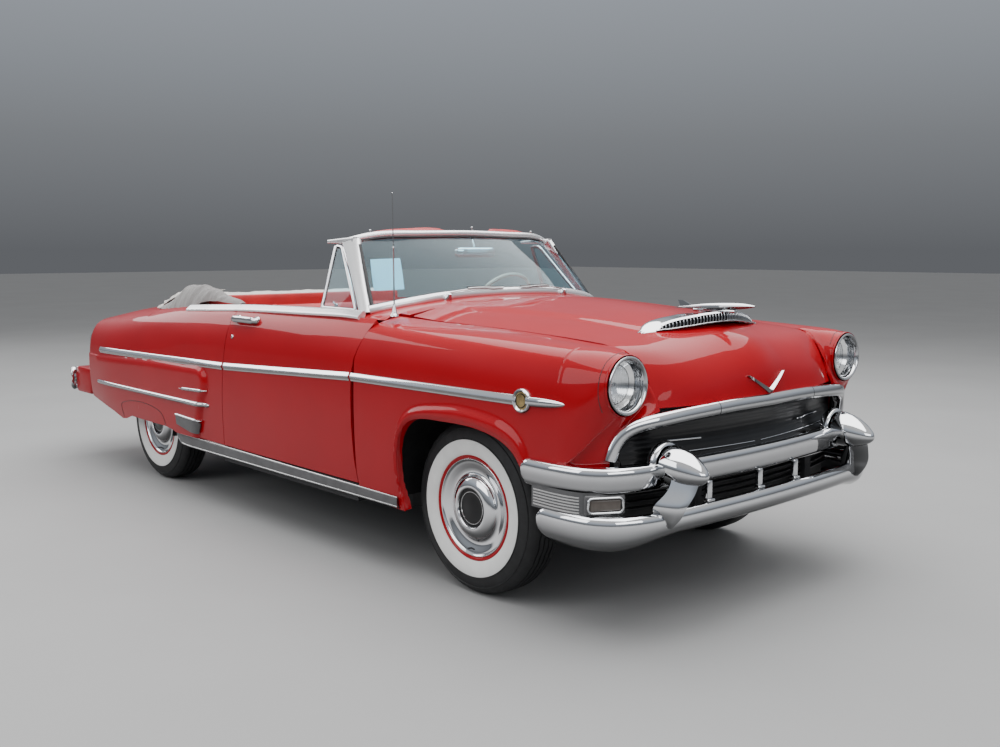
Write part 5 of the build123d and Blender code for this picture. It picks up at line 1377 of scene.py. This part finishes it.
# bare plate holder with its four holes
bm = bmesh.new()
edges = []
for loopp in [rrect(320, 170, 12, 5)] + [circle(3.5, 16) + np.array(c) for c in ((-88.9, 60.3 + 12), (88.9, 60.3 + 12), (-88.9, -60.3 + 12), (88.9, -60.3 + 12))]:
    vs = [bm.verts.new((a, 2697.5, 680 + b)) for a, b in loopp]
    edges += [bm.edges.new((vs[i], vs[(i + 1) % len(vs)])) for i in range(len(vs))]
bmesh.ops.triangle_fill(bm, use_beauty=True, edges=edges)
bm.normal_update()
facing(bm, (0, -1, 0))
r = bmesh.ops.extrude_face_region(bm, geom=bm.faces[:])
bmesh.ops.translate(bm, vec=(0, 5, 0), verts=[g for g in r["geom"] if isinstance(g, bmesh.types.BMVert)])
bmesh.ops.recalc_face_normals(bm, faces=bm.faces)
rear.add(bm, M["grey"])
rear.add(tube([(a, 2700, 680 + b) for a, b in rrect(318, 168, 12, 5)], 4, 10, closed=True), M["chrome"])
rear.done()

# ============================================================================ cowl and windshield
cowl = Piece("cowl_skin", "body", "body_paint", ["cowl"])
COWL = [(0, [(-945, 1194), (-860, 1199), (-660, 1188)]), (400, [(-945, 1172), (-830, 1184), (-660, 1174)]),
        (700, [(-945, 1128), (-760, 1141), (-660, 1132)]), (757, [(-945, 1118), (-730, 1128), (-660, 1120)])]
bm = facing(sheet(outline_sheet(COWL, 141, 60, -757, 757)), (0, 0, 1))
cp = [(-757, -655), (-757, -884), (-706, -884), (-706, -944), (706, -944), (706, -884), (757, -884), (757, -655)]
knife(bm, cp, axes=(0, 1))
hem(bm, 12, 2)
cowl.add(bm, M["paint"])
P = np.zeros((44, 8, 3))
for i, y in enumerate(np.linspace(-880, -658, 44)):
    zc = float(nat([-945, -730, -660], [1118, 1128, 1120], y)[0])
    xm = 790 + 20 * sstep((y + 872) / 20) - 12 * sstep((y + 790) / 40)
    for j, t in enumerate(np.linspace(0, 1, 8)):
        P[i, j] = (750 + (xm - 750) * t, y, zc - 2 - 20 * t ** 1.6)
cowl.add(solid(facing(sheet(P), (0, 0, 1)), 3), M["paint"], mirror=True)
cowl.add(rbox((0, -938, 1130), (698, 10, 56), 2), M["paint_in"])
cowl.add(rbox((732, -768, 743), (12, 214, 744), 3), M["paint"], mirror=True)
cowl.add(rbox((732, -902, 705), (12, 54, 668), 3), M["paint_in"], mirror=True)
cowl.done()

frame_p = Piece("windshield_frame_bright", "body", "chrome", ["windshield_frame"])
BR = [(-757, -712, 1140), (-700, -748, 1153), (-400, -826, 1198), (0, -856, 1212), (400, -826, 1198), (700, -748, 1153), (757, -712, 1140)]
base = curve(BR, 90)
frame_p.add(sweep(base, smooth_prof([(-12, -19), (8, -20), (16, -12), (16, 2), (8, 15), (-2, 20), (-12, 18)], 30), (0, -0.72, 0.69)), M["bright"], sharp=70)
frame_p.add(sweep([p + np.array((0, 9, 17)) for p in base], rrect(10, 12, 4), (0, -0.72, 0.69)), M["seal"])
HD = [(-662, -424, 1461), (-600, -448, 1478), (-350, -500, 1495), (0, -522, 1500), (350, -500, 1495), (600, -448, 1478), (662, -424, 1461)]
head = curve(HD, 90)
frame_p.add(sweep(head, smooth_prof([(-18, -17), (6, -16), (15, -9), (17, 2), (10, 13), (-4, 17), (-20, 16), (-24, 0)], 34), (0, -0.80, 0.6)), M["bright"], sharp=70)
frame_p.add(sweep([p + np.array((0, -14, -16)) for p in head[3:-3]], rrect(12, 11, 4), (0, -0.85, -0.5)), M["seal"])
frame_p.add(sweep([p + np.array((0, 16, -6)) for p in head], rrect(22, 24, 6), (0, 1, 0)), M["vinyl"])
# posts, wider at the top, where they turn into the header
post = []
for t in np.linspace(0, 1, 24):
    c = np.array((766, -690, 1124)) * (1 - t) + np.array((668, -440, 1456)) * t
    w = 64 + 34 * t ** 2.2
    th = 30 - 4 * t
    ax = np.array((-0.10, 1.0, -0.30 - 0.12 * t))
    ax /= np.linalg.norm(ax)
    up = np.array((-0.23, 0.58, 0.78))
    out = np.cross(ax, up)
    out /= np.linalg.norm(out)
    if out[0] < 0:
        out = -out
    ax, out = ax * 0.87 + out * 0.5, out * 0.87 - ax * 0.5
    post.append([tuple(c + ax * (a - 4) + out * (b + 5 * (1 - (2 * a / w) ** 2) * (1 if b > 0 else 0))) for a, b in rrect(w, th, 9, 5)])
frame_p.add(loft(post), M["bright"], mirror=True, sharp=70)
seal_line = [np.array((742, -716, 1152)) * (1 - t) + np.array((662, -506, 1440)) * t for t in np.linspace(0, 1, 24)]
frame_p.add(sweep(seal_line, rrect(16, 15, 5), (0.5, -0.8, 0.3)), M["seal"], mirror=True)
rear_line2 = [np.array((778, -661, 1122)) * (1 - t) + np.array((676, -400, 1446)) * t for t in np.linspace(0.02, 0.97, 24)]
frame_p.add(sweep(rear_line2, rrect(6, 9, 2), (0.95, 0, 0.3)), M["seal"], mirror=True)
# the header's ends run back over the side windows
tipe = []
for t in np.linspace(0, 1, 16):
    cx, cy, cz = 663, -470 + 232 * t, 1463 - 5 * t
    tipe.append([(cx + a, cy, cz + b) for a, b in rrect(30 - 16 * t, 32 - 15 * t, 6, 4)])
frame_p.add(loft(tipe), M["bright"], mirror=True, sharp=60)
# snap pins on the header
for x, y, z in ((-560, -452, 1486), (40, -519, 1507), (520, -466, 1491)):
    frame_p.add(lathe([(0, 8), (7, 7.5), (8, 4.5), (22, 3.6), (26, 6), (30, 5), (31, 0)], (x, y, z), (0, 0.1, 1), 20), M["chrome"])
# wipers
for x, tx in ((-400, -60), (380, 60)):
    pz = float(nat([p[0] for p in BR], [p[2] for p in BR], x)[0])
    py = float(nat([p[0] for p in BR], [p[1] for p in BR], x)[0])
    frame_p.add(lathe([(-14, 20), (4, 19), (14, 13), (22, 11), (24, 0)], (x, py - 22, pz - 6), (0, -0.5, 1), 32), M["chrome"])
    arm = []
    for t in np.linspace(0, 1, 24):
        xx = x + (tx - x) * t
        zz = float(nat([p[0] for p in BR], [p[2] for p in BR], xx)[0])
        yy = float(nat([p[0] for p in BR], [p[1] for p in BR], xx)[0])
        arm.append((xx, yy - 20 + 8 * t, zz + 16 + 10 * math.sin(math.pi * min(1, t * 1.2)) * 0.6))
    frame_p.add(sweep(arm, rrect(5, 6, 1.5), (0, -0.6, 0.8), scale=[1.2 - 0.5 * t for t in np.linspace(0, 1, 24)]), M["steel"])
    blade_w = [tuple(np.array(p) + (0, 6, 10)) for p in arm[8:]]
    frame_p.add(sweep(blade_w, rrect(4, 7, 1.5), (0, -0.8, 0.6)), M["seal"])
    frame_p.add(sweep([tuple(np.array(p) + (0, -1, 6)) for p in arm[8:]], rrect(4, 5, 1.5), (0, -0.8, 0.6)), M["steel"])
# mirror on its stalk under the header
frame_p.add(loft([[(30 + a, -552 + k, 1402 + b) for a, b in rrect(258 * f2, 52 * f2, 20 * f2, 6)] for k, f2 in ((14, 0.82), (6, 1.0), (-8, 1.0), (-18, 0.9), (-26, 0.6))]), M["chrome"])
frame_p.add(loft([[(30 + a, -534 + k, 1402 + b) for a, b in rrect(244, 42, 14, 6)] for k in (-4, 0)]), M["reflector"])
frame_p.add(tube([(30, -548, 1410), (30, -540, 1440), (30, -520, 1476)], 7, 14), M["chrome"])
# two folded sun visors standing above the header
for xs_, zs_, yb_ in (((-490, -475, -390, -300, -170, -80, -60), (1496, 1509, 1520, 1525, 1532, 1528, 1506), -400), ((250, 275, 380, 505, 600, 672), (1508, 1530, 1530, 1525, 1513, 1496), -400)):
    vis = []
    for x, zt in zip(np.linspace(xs_[0], xs_[-1], 30), np.interp(np.linspace(xs_[0], xs_[-1], 30), xs_, zs_)):
        zb = float(nat([p[0] for p in HD], [p[2] for p in HD], x)[0]) - 6
        yb = float(nat([p[0] for p in HD], [p[1] for p in HD], x)[0]) + 26
        sec = [(x, yb - 7, zb), (x, yb + 20, zb + (zt - zb) * 0.55), (x, yb + 82, zt - 3), (x, yb + 92, zt), (x, yb + 96, zt - 6), (x, yb + 44, zb + (zt - zb) * 0.42), (x, yb + 8, zb - 6)]
        vis.append(sec)
    frame_p.add(loft(vis), M["vinyl"])
frame_p.done()

pane = Piece("windshield_glass_pane", "body", "glass", ["windshield_glass"])
GL = [(0, -856, 1221, -531, 1485), (350, -832, 1208, -508, 1480), (600, -780, 1178, -470, 1463), (735, -722, 1155, -450, 1450)]
gx_ = [-g[0] for g in GL[:0:-1]] + [g[0] for g in GL]
gv = np.array([g[1:] for g in GL[:0:-1]] + [g[1:] for g in GL], float)
qx2 = np.linspace(-1, 1, 81)
P = np.zeros((81, 30, 3))
for i, f2 in enumerate(qx2):
    for j, t in enumerate(np.linspace(0, 1, 30)):
        x = f2 * (738 * (1 - t) + 656 * t)
        b = nat(gx_, gv, x)[0]
        bulge = 10 * math.sin(math.pi * t)
        P[i, j] = (x, b[0] + (b[2] - b[0]) * t - bulge, b[1] + (b[3] - b[1]) * t + bulge * 0.4)
pane.add(solid(facing(sheet(P), (0, -1, 0.6)), 5), M["glass"])
pane.done()

papers = Piece("paper_sheets", "body")
cor = [np.array(p) * 1000 for p in ((-0.617, -0.552, 1.382), (-0.466, -0.588, 1.387), (-0.544, -0.728, 1.242), (-0.684, -0.672, 1.237))]
for a0, a1, off in ((0.0, 0.49, 0), (0.505, 1.0, 3)):
    P = np.zeros((10, 16, 3))
    for i, u in enumerate(np.linspace(a0, a1, 10)):
        for j, v in enumerate(np.linspace(0, 1, 16)):
            top = cor[0] * (1 - u) + cor[1] * u
            bot = cor[3] * (1 - u) + cor[2] * u
            q = top * (1 - v) + bot * v
            P[i, j] = q + np.array((0, 26 + off + 3 * math.sin(3 * v + 4 * u), -12))
    papers.add(solid(sheet(P), 0.6), M["paper"])
papers.done()

# ============================================================================ dashboard and steering wheel
dash_p = Piece("dashboard_panel", "body", "dash_paint", ["dashboard"])
dpr = smooth_prof([(-650, 1104), (-652, 1140), (-640, 1156), (-600, 1160), (-556, 1158), (-520, 1142), (-503, 1110), (-500, 1060), (-503, 1010), (-522, 968), (-544, 944), (-580, 944), (-604, 960), (-624, 1010)], 90)
dash_p.add(loft([[(x, 0.5 * -1150 + (a + 575) * f2, 1050 + (b - 1050) * f2) for a, b in dpr] for x, f2 in [(-720, 0.93), (-714, 0.98), (-700, 1)] + [(x, 1) for x in np.linspace(-680, 680, 21)] + [(700, 1), (714, 0.98), (720, 0.93)]]), M["paint"])
dash_p.add(sweep([(x, -497, 1012) for x in np.linspace(-700, 700, 30)], smooth_prof([(-4, -20), (4, -18), (7, 0), (4, 18), (-4, 20)], 20), (0, 1, 0)), M["chrome"])
dash_p.add(loft([[(380 + a, -500 + k, 1076 + b) for a, b in rrect(330 * f2, 92 * f2, 40, 8)] for k, f2 in ((-10, 1), (10, 0.98), (16, 0.93))]), M["chrome"])
dash_p.add(loft([[(380 + a, -484 + k, 1076 + b) for a, b in rrect(300, 68, 30, 8)] for k in (-2, 1.5)]), M["dial"])
for x, r in ((380, 30), (300, 20), (460, 20)):
    dash_p.add(lathe([(0, r), (3, r), (4, r - 2), (3, r - 4)], (x, -483, 1076), (0, 1, 0), 48), M["steel"])
    for k in range(9):
        a = math.radians(-120 + 30 * k)
        dash_p.add(rbox((x + (r - 8) * math.sin(a), -481.6, 1076 + (r - 8) * math.cos(a)), (1.6, 1.4, 6), 0, 1, Matrix.Rotation(a, 4, "Y")), M["white"])
    dash_p.add(rbox((x + 4, -480.6, 1082), (1.4, 1.4, r), 0, 1, Matrix.Rotation(0.6, 4, "Y")), M["red_lens"])
dash_p.add(loft([[(0 + a, -500 + k, 1070 + b) for a, b in rrect(200 * f2, 78 * f2, 14, 5)] for k, f2 in ((-8, 1), (6, 0.98), (10, 0.94))]), M["chrome"])
for z in np.linspace(1042, 1098, 8):
    dash_p.add(rbox((0, -488, z), (176, 5, 3.2), 1), M["black"])
for x in (-150, -120, 120, 150):
    dash_p.add(lathe([(0, 13), (8, 12), (12, 10), (22, 9), (24, 0)], (x, -498, 1046), (0, 1, 0), 28), M["cream"])
dash_p.add(loft([[(-420 + a, -502 + k, 1070 + b) for a, b in rrect(360 * f2, 104 * f2, 10, 4)] for k, f2 in ((-6, 1), (3, 1), (5, 0.98))]), M["paint"])
dash_p.add(lathe([(0, 10), (8, 9), (10, 0)], (-420, -498, 1096), (0, 1, 0), 24), M["chrome"])
dash_p.done()

wheel_s = Piece("steering_wheel_rim", "steering_wheel", "wheel_cream", ["steering_wheel"])
HC = np.array((380.0, -360.0, 1097.0))
ax = np.array((0, math.cos(math.radians(30)), math.sin(math.radians(30))))
side_v = np.array((1.0, 0, 0))
up_v = np.cross(ax, side_v)
if up_v[2] < 0:
    up_v = -up_v
ring = [tuple(HC + 214 * (math.cos(a) * side_v + math.sin(a) * up_v)) for a in np.linspace(0, 2 * math.pi, 96, endpoint=False)]
wheel_s.add(tube(ring, 10.5, 16, closed=True, out=tuple(ax)), M["cream"])
for s in (-1, 1):
    sp = [tuple(HC + side_v * s * d + ax * k) for d, k in ((30, -8), (80, -9), (140, -6), (206, 0))]
    wheel_s.add(sweep(curve(sp, 24), rrect(9, 30, 4, 4), tuple(ax), scale=[(1, 1.15 - 0.45 * t) for t in np.linspace(0, 1, 24)]), M["cream"])
hr = [tuple(HC + ax * (-2 + 2 * math.cos(a)) + 132 * (math.cos(a) * side_v + math.sin(a) * up_v)) for a in np.linspace(math.pi + 0.15, 2 * math.pi - 0.15, 50)]
wheel_s.add(tube(hr, 4.5, 12, out=tuple(ax)), M["chrome"])
for s in (-1, 1):
    wheel_s.add(tube([tuple(HC + side_v * s * 130 + ax * -1), tuple(HC + side_v * s * 60 + ax * 3), tuple(HC + side_v * s * 22 + ax * 3)], 4.5, 12, out=tuple(ax)), M["chrome"])
wheel_s.add(lathe([(-26, 33), (-10, 34), (0, 34), (5, 31), (7, 26)], tuple(HC), tuple(ax), 56), M["cream"])
wheel_s.add(lathe([(5, 28), (9, 26), (11, 18), (12, 0)], tuple(HC), tuple(ax), 56), M["chrome"])
wheel_s.done()

# ============================================================================ seats
def seat(name, node, pts, cushion, back):
    """Bench seat: closed side outline carried across, sewn channels on the cushion and the back, piping at its ends."""
    pr = curve([(a, b, 0) for a, b in pts], 100, closed=True)[:, :2]
    c0 = pr.mean(axis=0)
    T = np.roll(pr, -1, axis=0) - np.roll(pr, 1, axis=0)
    T /= np.linalg.norm(T, axis=1)[:, None]
    N = np.stack([T[:, 1], -T[:, 0]], axis=1)
    if ((pr - c0) * N).sum() < 0:
        N = -N
    w = np.zeros(len(pr))
    for i, (y, z) in enumerate(pr):
        if cushion[0] < y < cushion[1] and N[i, 1] > 0.75 and z > cushion[2]:
            w[i] = min(1, (y - cushion[0]) / 25, (cushion[1] - y) / 25)
        if back[0] < z < back[1] and N[i, 0] < -0.6:
            w[i] = max(w[i], min(1, (z - back[0]) / 25, (back[1] - z) / 25))
    xs = np.linspace(-690, 690, 201)
    P = np.zeros((len(xs), len(pr), 3))
    for k, x in enumerate(xs):
        e = max(0.0, (abs(x) - 652) / 38)
        inset = 30 * (1 - math.sqrt(max(0, 1 - e ** 2)))
        ch = (1 - abs(math.sin(math.pi * x / 69))) ** 2.2 if abs(x) < 640 else 0
        sag = 5 * math.sin(math.pi * (x + 345) / 690) ** 2
        off = -9 * ch * w - sag * w * 0.5 - inset
        if abs(abs(x) - 646) < 5:
            off = off - 4
        q = pr + N * np.asarray(off)[:, None]
        P[k, :, 0], P[k, :, 1:] = x, q
    p = Piece(name, "body", "red_vinyl", [node])
    bm = sheet(P, False, True)
    bm.verts.ensure_lookup_table()
    m = len(pr)
    for st in (0, (len(xs) - 1) * m):
        bm.faces.new([bm.verts[st + j] for j in range(m)])
    bmesh.ops.recalc_face_normals(bm, faces=bm.faces)
    for f in bm.faces:
        f.material_index = 0
    p.add(bm, M["vinyl"], sharp=60)
    for x in (-646, 646):
        p.add(sweep([(x, a, b) for a, b in pr], circle(4.2, 8), (1, 0, 0), closed=True), M["vinyl2"])
    # cross seams at the ends of the channels
    for i in range(len(pr) - 1):
        if (w[i] > 0) != (w[i + 1] > 0):
            p.add(sweep([(x, pr[i, 0], pr[i, 1]) for x in np.linspace(-648, 648, 40)], circle(3.4, 8), (0, 0.3, 1)), M["vinyl2"])
    ob = p.done()
    return ob


seat("front_seat_bench", "front_seat", [(-244, 372), (-250, 470), (-250, 590), (-230, 642), (-160, 664), (-60, 668), (40, 662), (120, 650), (168, 672), (196, 780), (222, 900), (246, 1010), (266, 1080), (296, 1116), (326, 1122),
     (356, 1108), (368, 1066), (364, 960), (350, 720), (334, 420), (318, 356), (220, 352), (0, 352), (-200, 352)], (-190, 118, 600), (712, 1030))
seat("rear_seat_bench", "rear_seat", [(503, 556), (500, 600), (508, 656), (548, 686), (640, 682), (740, 668), (800, 668), (828, 760), (852, 880), (876, 1000), (898, 1060), (930, 1082), (962, 1078), (982, 1044),
     (976, 900), (962, 640), (950, 560), (900, 548), (700, 546), (540, 546)], (556, 770, 600), (712, 1010))
seat_hw = Piece("seat_side_plates", "body", "column_steel")
seat_hw.add(slab([(300, 360), (352, 360), (374, 700), (346, 700)], 0, 692, 696, 2), M["chrome"], mirror=True)
seat_hw.add(lathe([(0, 18), (6, 17), (8, 0)], (696, 330, 690), (1, 0, 0), 32), M["chrome"], mirror=True)
seat_hw.done()

# ============================================================================ carpet over the floor
car = Piece("carpet_lining", "body", "red_vinyl")
fy, fz = [-918, -800, -600, -280], [528, 324, 324, 324]
P = np.zeros((46, 40, 3))
for i, y in enumerate(np.linspace(-905, -262, 46)):
    for j, x in enumerate(np.linspace(-700, 700, 40)):
        z = float(np.interp(y, [-905, -790, -262], [506, 330, 330]))
        t = float(np.interp(y, [-925, -250], [628, 530]))
        hw = float(np.interp(y, [-925, -250], [206, 156]))
        if abs(x) < hw + 60:
            z = max(z, t + 10 - max(0, (abs(x) - hw + 30) / 90) ** 1.5 * (t - z))
        P[i, j] = (x, y, z + 1.5 * math.sin(x * 0.05 + y * 0.03))
car.add(solid(facing(sheet(P), (0, -0.2, 1)), 4), M["carpet"])
P = np.zeros((16, 40, 3))
for i, y in enumerate(np.linspace(380, 494, 16)):
    for j, x in enumerate(np.linspace(-700, 700, 40)):
        z = 328.0
        if abs(x) < 190:
            z = max(z, 508 - max(0, (abs(x) - 110) / 80) ** 1.5 * 180)
        P[i, j] = (x, y, z)
car.add(solid(facing(sheet(P), (0, 0, 1)), 4), M["carpet"])
for y, w_ in ((-470, 300), (-470, -300)):
    P = np.array([[(w_ + 8 * a * 20, y + 10 * b * 20, 340) for b in np.linspace(-1, 1, 12)] for a in np.linspace(-1, 1, 12)])
    car.add(solid(facing(sheet(P), (0, 0, 1)), 6), M["rubber"])
for x in (300, 420):
    car.add(loft([[(x + a, -858 - k * 0.5, 500 + b - k * 0.6) for a, b in rrect(70 * f2, 46 * f2, 10, 4)] for k, f2 in ((0, 1), (-10, 1), (-14, 0.92))]), M["rubber"])
car.add(loft([[(520 + a, -846 - k, 470 + b) for a, b in rrect(54, 150, 12, 4)] for k in (0, 8)]), M["rubber"])
car.done()

# ============================================================================ folded top
rng = np.random.RandomState(11)


def wrinkle(x, y, k=1.0):
    return k * (3.2 * math.sin(x * 0.021 + 1.3 * math.sin(y * 0.019)) + 2.1 * math.sin(y * 0.061 + 2.0 * math.sin(x * 0.011) + 1.0) + 1.3 * math.sin(x * 0.063 - y * 0.047 + 0.6))


top = Piece("folded_top_stack", "body", "top_fabric", ["folded_top"])
stack = [(1006, 872), (1010, 905), (1003, 935), (1013, 962), (1004, 992), (1014, 1020), (1005, 1050), (1016, 1078), (1008, 1104), (1020, 1130), (1052, 1150), (1110, 1157), (1180, 1160), (1250, 1160), (1330, 1152),
         (1400, 1136), (1440, 1112), (1456, 1088), (1450, 1060), (1458, 1030), (1450, 996), (1458, 960), (1452, 900), (1440, 872), (1300, 866), (1150, 866)]
sp = curve([(a, b, 0) for a, b in stack], 150, closed=True)[:, :2]
xs = np.linspace(-686, 686, 124)
P = np.zeros((len(xs), len(sp), 3))
for k, x in enumerate(xs):
    e = max(0.0, (abs(x) - 640) / 46)
    f2 = 1 - 0.07 * (1 - math.sqrt(max(0, 1 - e ** 2)))
    rise = 20 * sstep((-x - 560) / 100) + 4 * sstep((x - 560) / 100) - 7
    for j, (a, b) in enumerate(sp):
        up = sstep((b - 1080) / 60)
        P[k, j] = (x + 2 * math.sin(a * 0.03 + b * 0.05), 1230 + (a - 1230) * f2 + wrinkle(x, b * 1.7, 0.8), 1010 + (b - 1010) * f2 + up * (rise + wrinkle(x, a, 0.9)))
bm = sheet(P, False, True)
bm.verts.ensure_lookup_table()
m = len(sp)
for st in (0, (len(xs) - 1) * m):
    bm.faces.new([bm.verts[st + j] for j in range(m)])
bmesh.ops.recalc_face_normals(bm, faces=bm.faces)
top.add(bm, M["cloth2"], sharp=70)
top.add(slab([(986, 870), (997, 870), (1001, 1118), (1012, 1140), (1008, 1150), (992, 1146), (986, 1120)], 0, -684, 684, 3), M["vinyl"])
for s in (-1, 1):
    top.add(sweep(curve([(s * 692, 1030, 1040), (s * 694, 1150, 1090), (s * 693, 1300, 1080), (s * 692, 1420, 1020)], 24), rrect(8, 26, 3), (1, 0, 0)), M["dull"])
    top.add(sweep(curve([(s * 700, 1050, 1000), (s * 701, 1180, 1046), (s * 701, 1330, 1062)], 24), rrect(7, 20, 3), (1, 0, 0)), M["alloy"])
ob_top = top.done()


def grid_cloth(name, P, mat, thick_=1.6):
    p = Piece(name, "body", "top_fabric")
    p.add(solid(facing(sheet(P), (-0.3, 0, 1)), thick_), mat, sharp=80)
    ob = p.done()
    return ob


# grey cover cloth crumpled over the right end of the stack, its edge lying down on the shoulder
ctop_y = [535, 557, 657, 854, 1000, 1080, 1166, 1240, 1302, 1390, 1473]
ctop_z = [1118, 1126, 1143, 1180, 1200, 1206, 1202, 1178, 1146, 1100, 1064]
edge_y = [535, 620, 760, 883, 960, 1060, 1177, 1300, 1400, 1473]
edge_z = [1112, 1118, 1124, 1122, 1100, 1070, 1062, 1060, 1058, 1056]
edge_x = [742, 748, 752, 762, 790, 806, 808, 800, 792, 784]
inner_x = [726, 716, 690, 640, 600, 580, 570, 580, 600, 640, 670]
inner_z = [1112, 1116, 1124, 1146, 1164, 1168, 1168, 1162, 1146, 1112, 1080]
ny, nx = 120, 60
P = np.zeros((ny, nx, 3))
for i, y in enumerate(np.linspace(535, 1473, ny)):
    zt = float(nat(ctop_y, ctop_z, y)[0])
    ze, xe = float(np.interp(y, edge_y, edge_z)), float(np.interp(y, edge_y, edge_x))
    xi, zi = float(np.interp(y, ctop_y, inner_x)), float(np.interp(y, ctop_y, inner_z))
    row = curve([(xi, 0, zi), (xi * 0.55 + 0.45 * 700, 0, zi * 0.4 + zt * 0.6 - 1), (700, 0, zt), (xe * 0.6 + 700 * 0.4 + 4, 0, zt * 0.55 + ze * 0.45 + 6), (xe, 0, ze)], nx)
    amp = sstep((y - 600) / 200) * 1.0
    for j in range(nx):
        u = j / (nx - 1)
        fold = amp * (7 * math.sin(y * 0.036 + 2.2 * math.sin(u * 3.1 + 0.4)) * (0.35 + 0.65 * math.sin(math.pi * min(1, u * 1.15)))
                      + 4 * math.sin(y * 0.083 - u * 5 + 0.7 * math.sin(y * 0.02)) + 1.8 * math.sin(y * 0.17 + u * 9))
        P[i, j] = (-(row[j, 0] + 0.35 * fold * u), y + 3 * math.sin(u * 6 + y * 0.01) + 10 * u * math.sin(y * 0.012), row[j, 2] + fold * (1 - 0.75 * u) + 4)
grid_cloth("cover_cloth", P, M["cloth"])
# pale lining showing behind it, lying down to the deck
lin_y = [1300, 1343, 1400, 1454, 1540, 1600, 1658]
lin_z = [1172, 1166, 1152, 1134, 1104, 1082, 1068]
P = np.zeros((50, 60, 3))
for i, y in enumerate(np.linspace(1300, 1658, 50)):
    zt = float(nat(lin_y, lin_z, y)[0])
    for j, x in enumerate(np.linspace(-716, -420, 60)):
        u = (x + 716) / 296
        zc = zt - 46 * max(0, 1 - u * 9) ** 2 * 0.6
        P[i, j] = (x, y - 60 * sstep((u - 0.45) / 0.5) * sstep((y - 1400) / 200), max(zc - 14 * sstep((u - 0.3) / 0.6) * sstep((y - 1330) / 100) + wrinkle(x * 2.1, y * 1.4, 0.9), 1092.0 + 24 * u if y > 1460 and u > 0.2 else 0))
grid_cloth("pale_lining", P, M["cloth2"])

# ============================================================================ antenna
ant = Piece("antenna_mast", "body", "chrome", ["antenna"])
ant.add(lathe([(0, 17), (3, 19), (9, 18), (14, 13), (22, 11), (34, 9), (44, 6), (60, 3.6), (300, 3.2), (302, 4.4), (306, 4.4), (308, 2.6), (530, 2.0), (536, 3.4), (541, 3.4), (544, 0)], (-800, -959, 1122), (0, 0.01, 1), 24), M["chrome"])
ant.done()

# ============================================================================ light, floor, camera
fl = bmesh.new()
bmesh.ops.create_grid(fl, x_segments=8, y_segments=8, size=1)
fm = bpy.data.meshes.new("floor")
for v in fl.verts:
    v.co = Vector((v.co.x * 60, v.co.y * 60, 0))
fl.to_mesh(fm)
floor = bpy.data.objects.new("floor", fm)
bpy.context.scene.collection.objects.link(floor)
floor.data.materials.append(material("pale_floor", (0.32, 0.32, 0.32), 0.80, vary=0.03, scale=0.8, bump=0.1, bump_scale=30, rough_vary=0.05))

world = bpy.data.worlds.new("sky")
bpy.context.scene.world = world
world.use_nodes = True
wt = world.node_tree
bg = wt.nodes["Background"]
tc = wt.nodes.new("ShaderNodeTexCoord")
sp = wt.nodes.new("ShaderNodeSeparateXYZ")
rp = wt.nodes.new("ShaderNodeValToRGB")
wt.links.new(tc.outputs["Generated"], sp.inputs["Vector"])
wt.links.new(sp.outputs["Z"], rp.inputs["Fac"])
r0, r1 = rp.color_ramp.elements[0], rp.color_ramp.elements[1]
r0.position, r0.color = 0.0, (0.22, 0.23, 0.25, 1)
r1.position, r1.color = 0.62, (1.0, 1.0, 1.0, 1)
for pos, col in ((0.10, (0.36, 0.38, 0.41)), (0.30, (0.72, 0.79, 0.89))):
    e = rp.color_ramp.elements.new(pos)
    e.color = (*col, 1)
wt.links.new(rp.outputs["Color"], bg.inputs["Color"])
bg.inputs["Strength"].default_value = 0.55


def area(name, loc, look, size, power, color=(1, 1, 1)):
    d = bpy.data.lights.new(name, "AREA")
    d.shape, d.size, d.size_y = "RECTANGLE", size[0], size[1]
    d.energy, d.color = power, color
    o = bpy.data.objects.new(name, d)
    bpy.context.scene.collection.objects.link(o)
    o.location = loc
    o.rotation_euler = (Vector(look) - Vector(loc)).to_track_quat("-Z", "Y").to_euler()


area("overhead", (0.8, -0.5, 6.5), (0.4, 0, 0.6), (12, 9.5), 1300)
area("side", (-8.0, 0.6, 4.6), (0, 0.0, 0.8), (6, 4), 190)
area("behind", (-3.2, 10.6, 6.2), (-0.9, 0, 0.8), (8, 4.5), 380)
area("front", (-1.5, -9.5, 3.6), (0, -1.5, 0.8), (6, 2.2), 110)

cam_data = bpy.data.cameras.new("camera")
cam_data.lens, cam_data.sensor_width = 37.62, 36.0
cam_data.clip_end = 200
cam = bpy.data.objects.new("camera", cam_data)
bpy.context.scene.collection.objects.link(cam)
yaw, pitch, roll = math.radians(42.5303), math.radians(-6.7661), math.radians(0.02)
cam.location = (-3.5736, -4.785, 1.4183)
look = Vector((math.sin(yaw) * math.cos(pitch), math.cos(yaw) * math.cos(pitch), math.sin(pitch)))
cam.rotation_euler = look.to_track_quat("-Z", "Y").to_euler()
bpy.context.scene.camera = cam
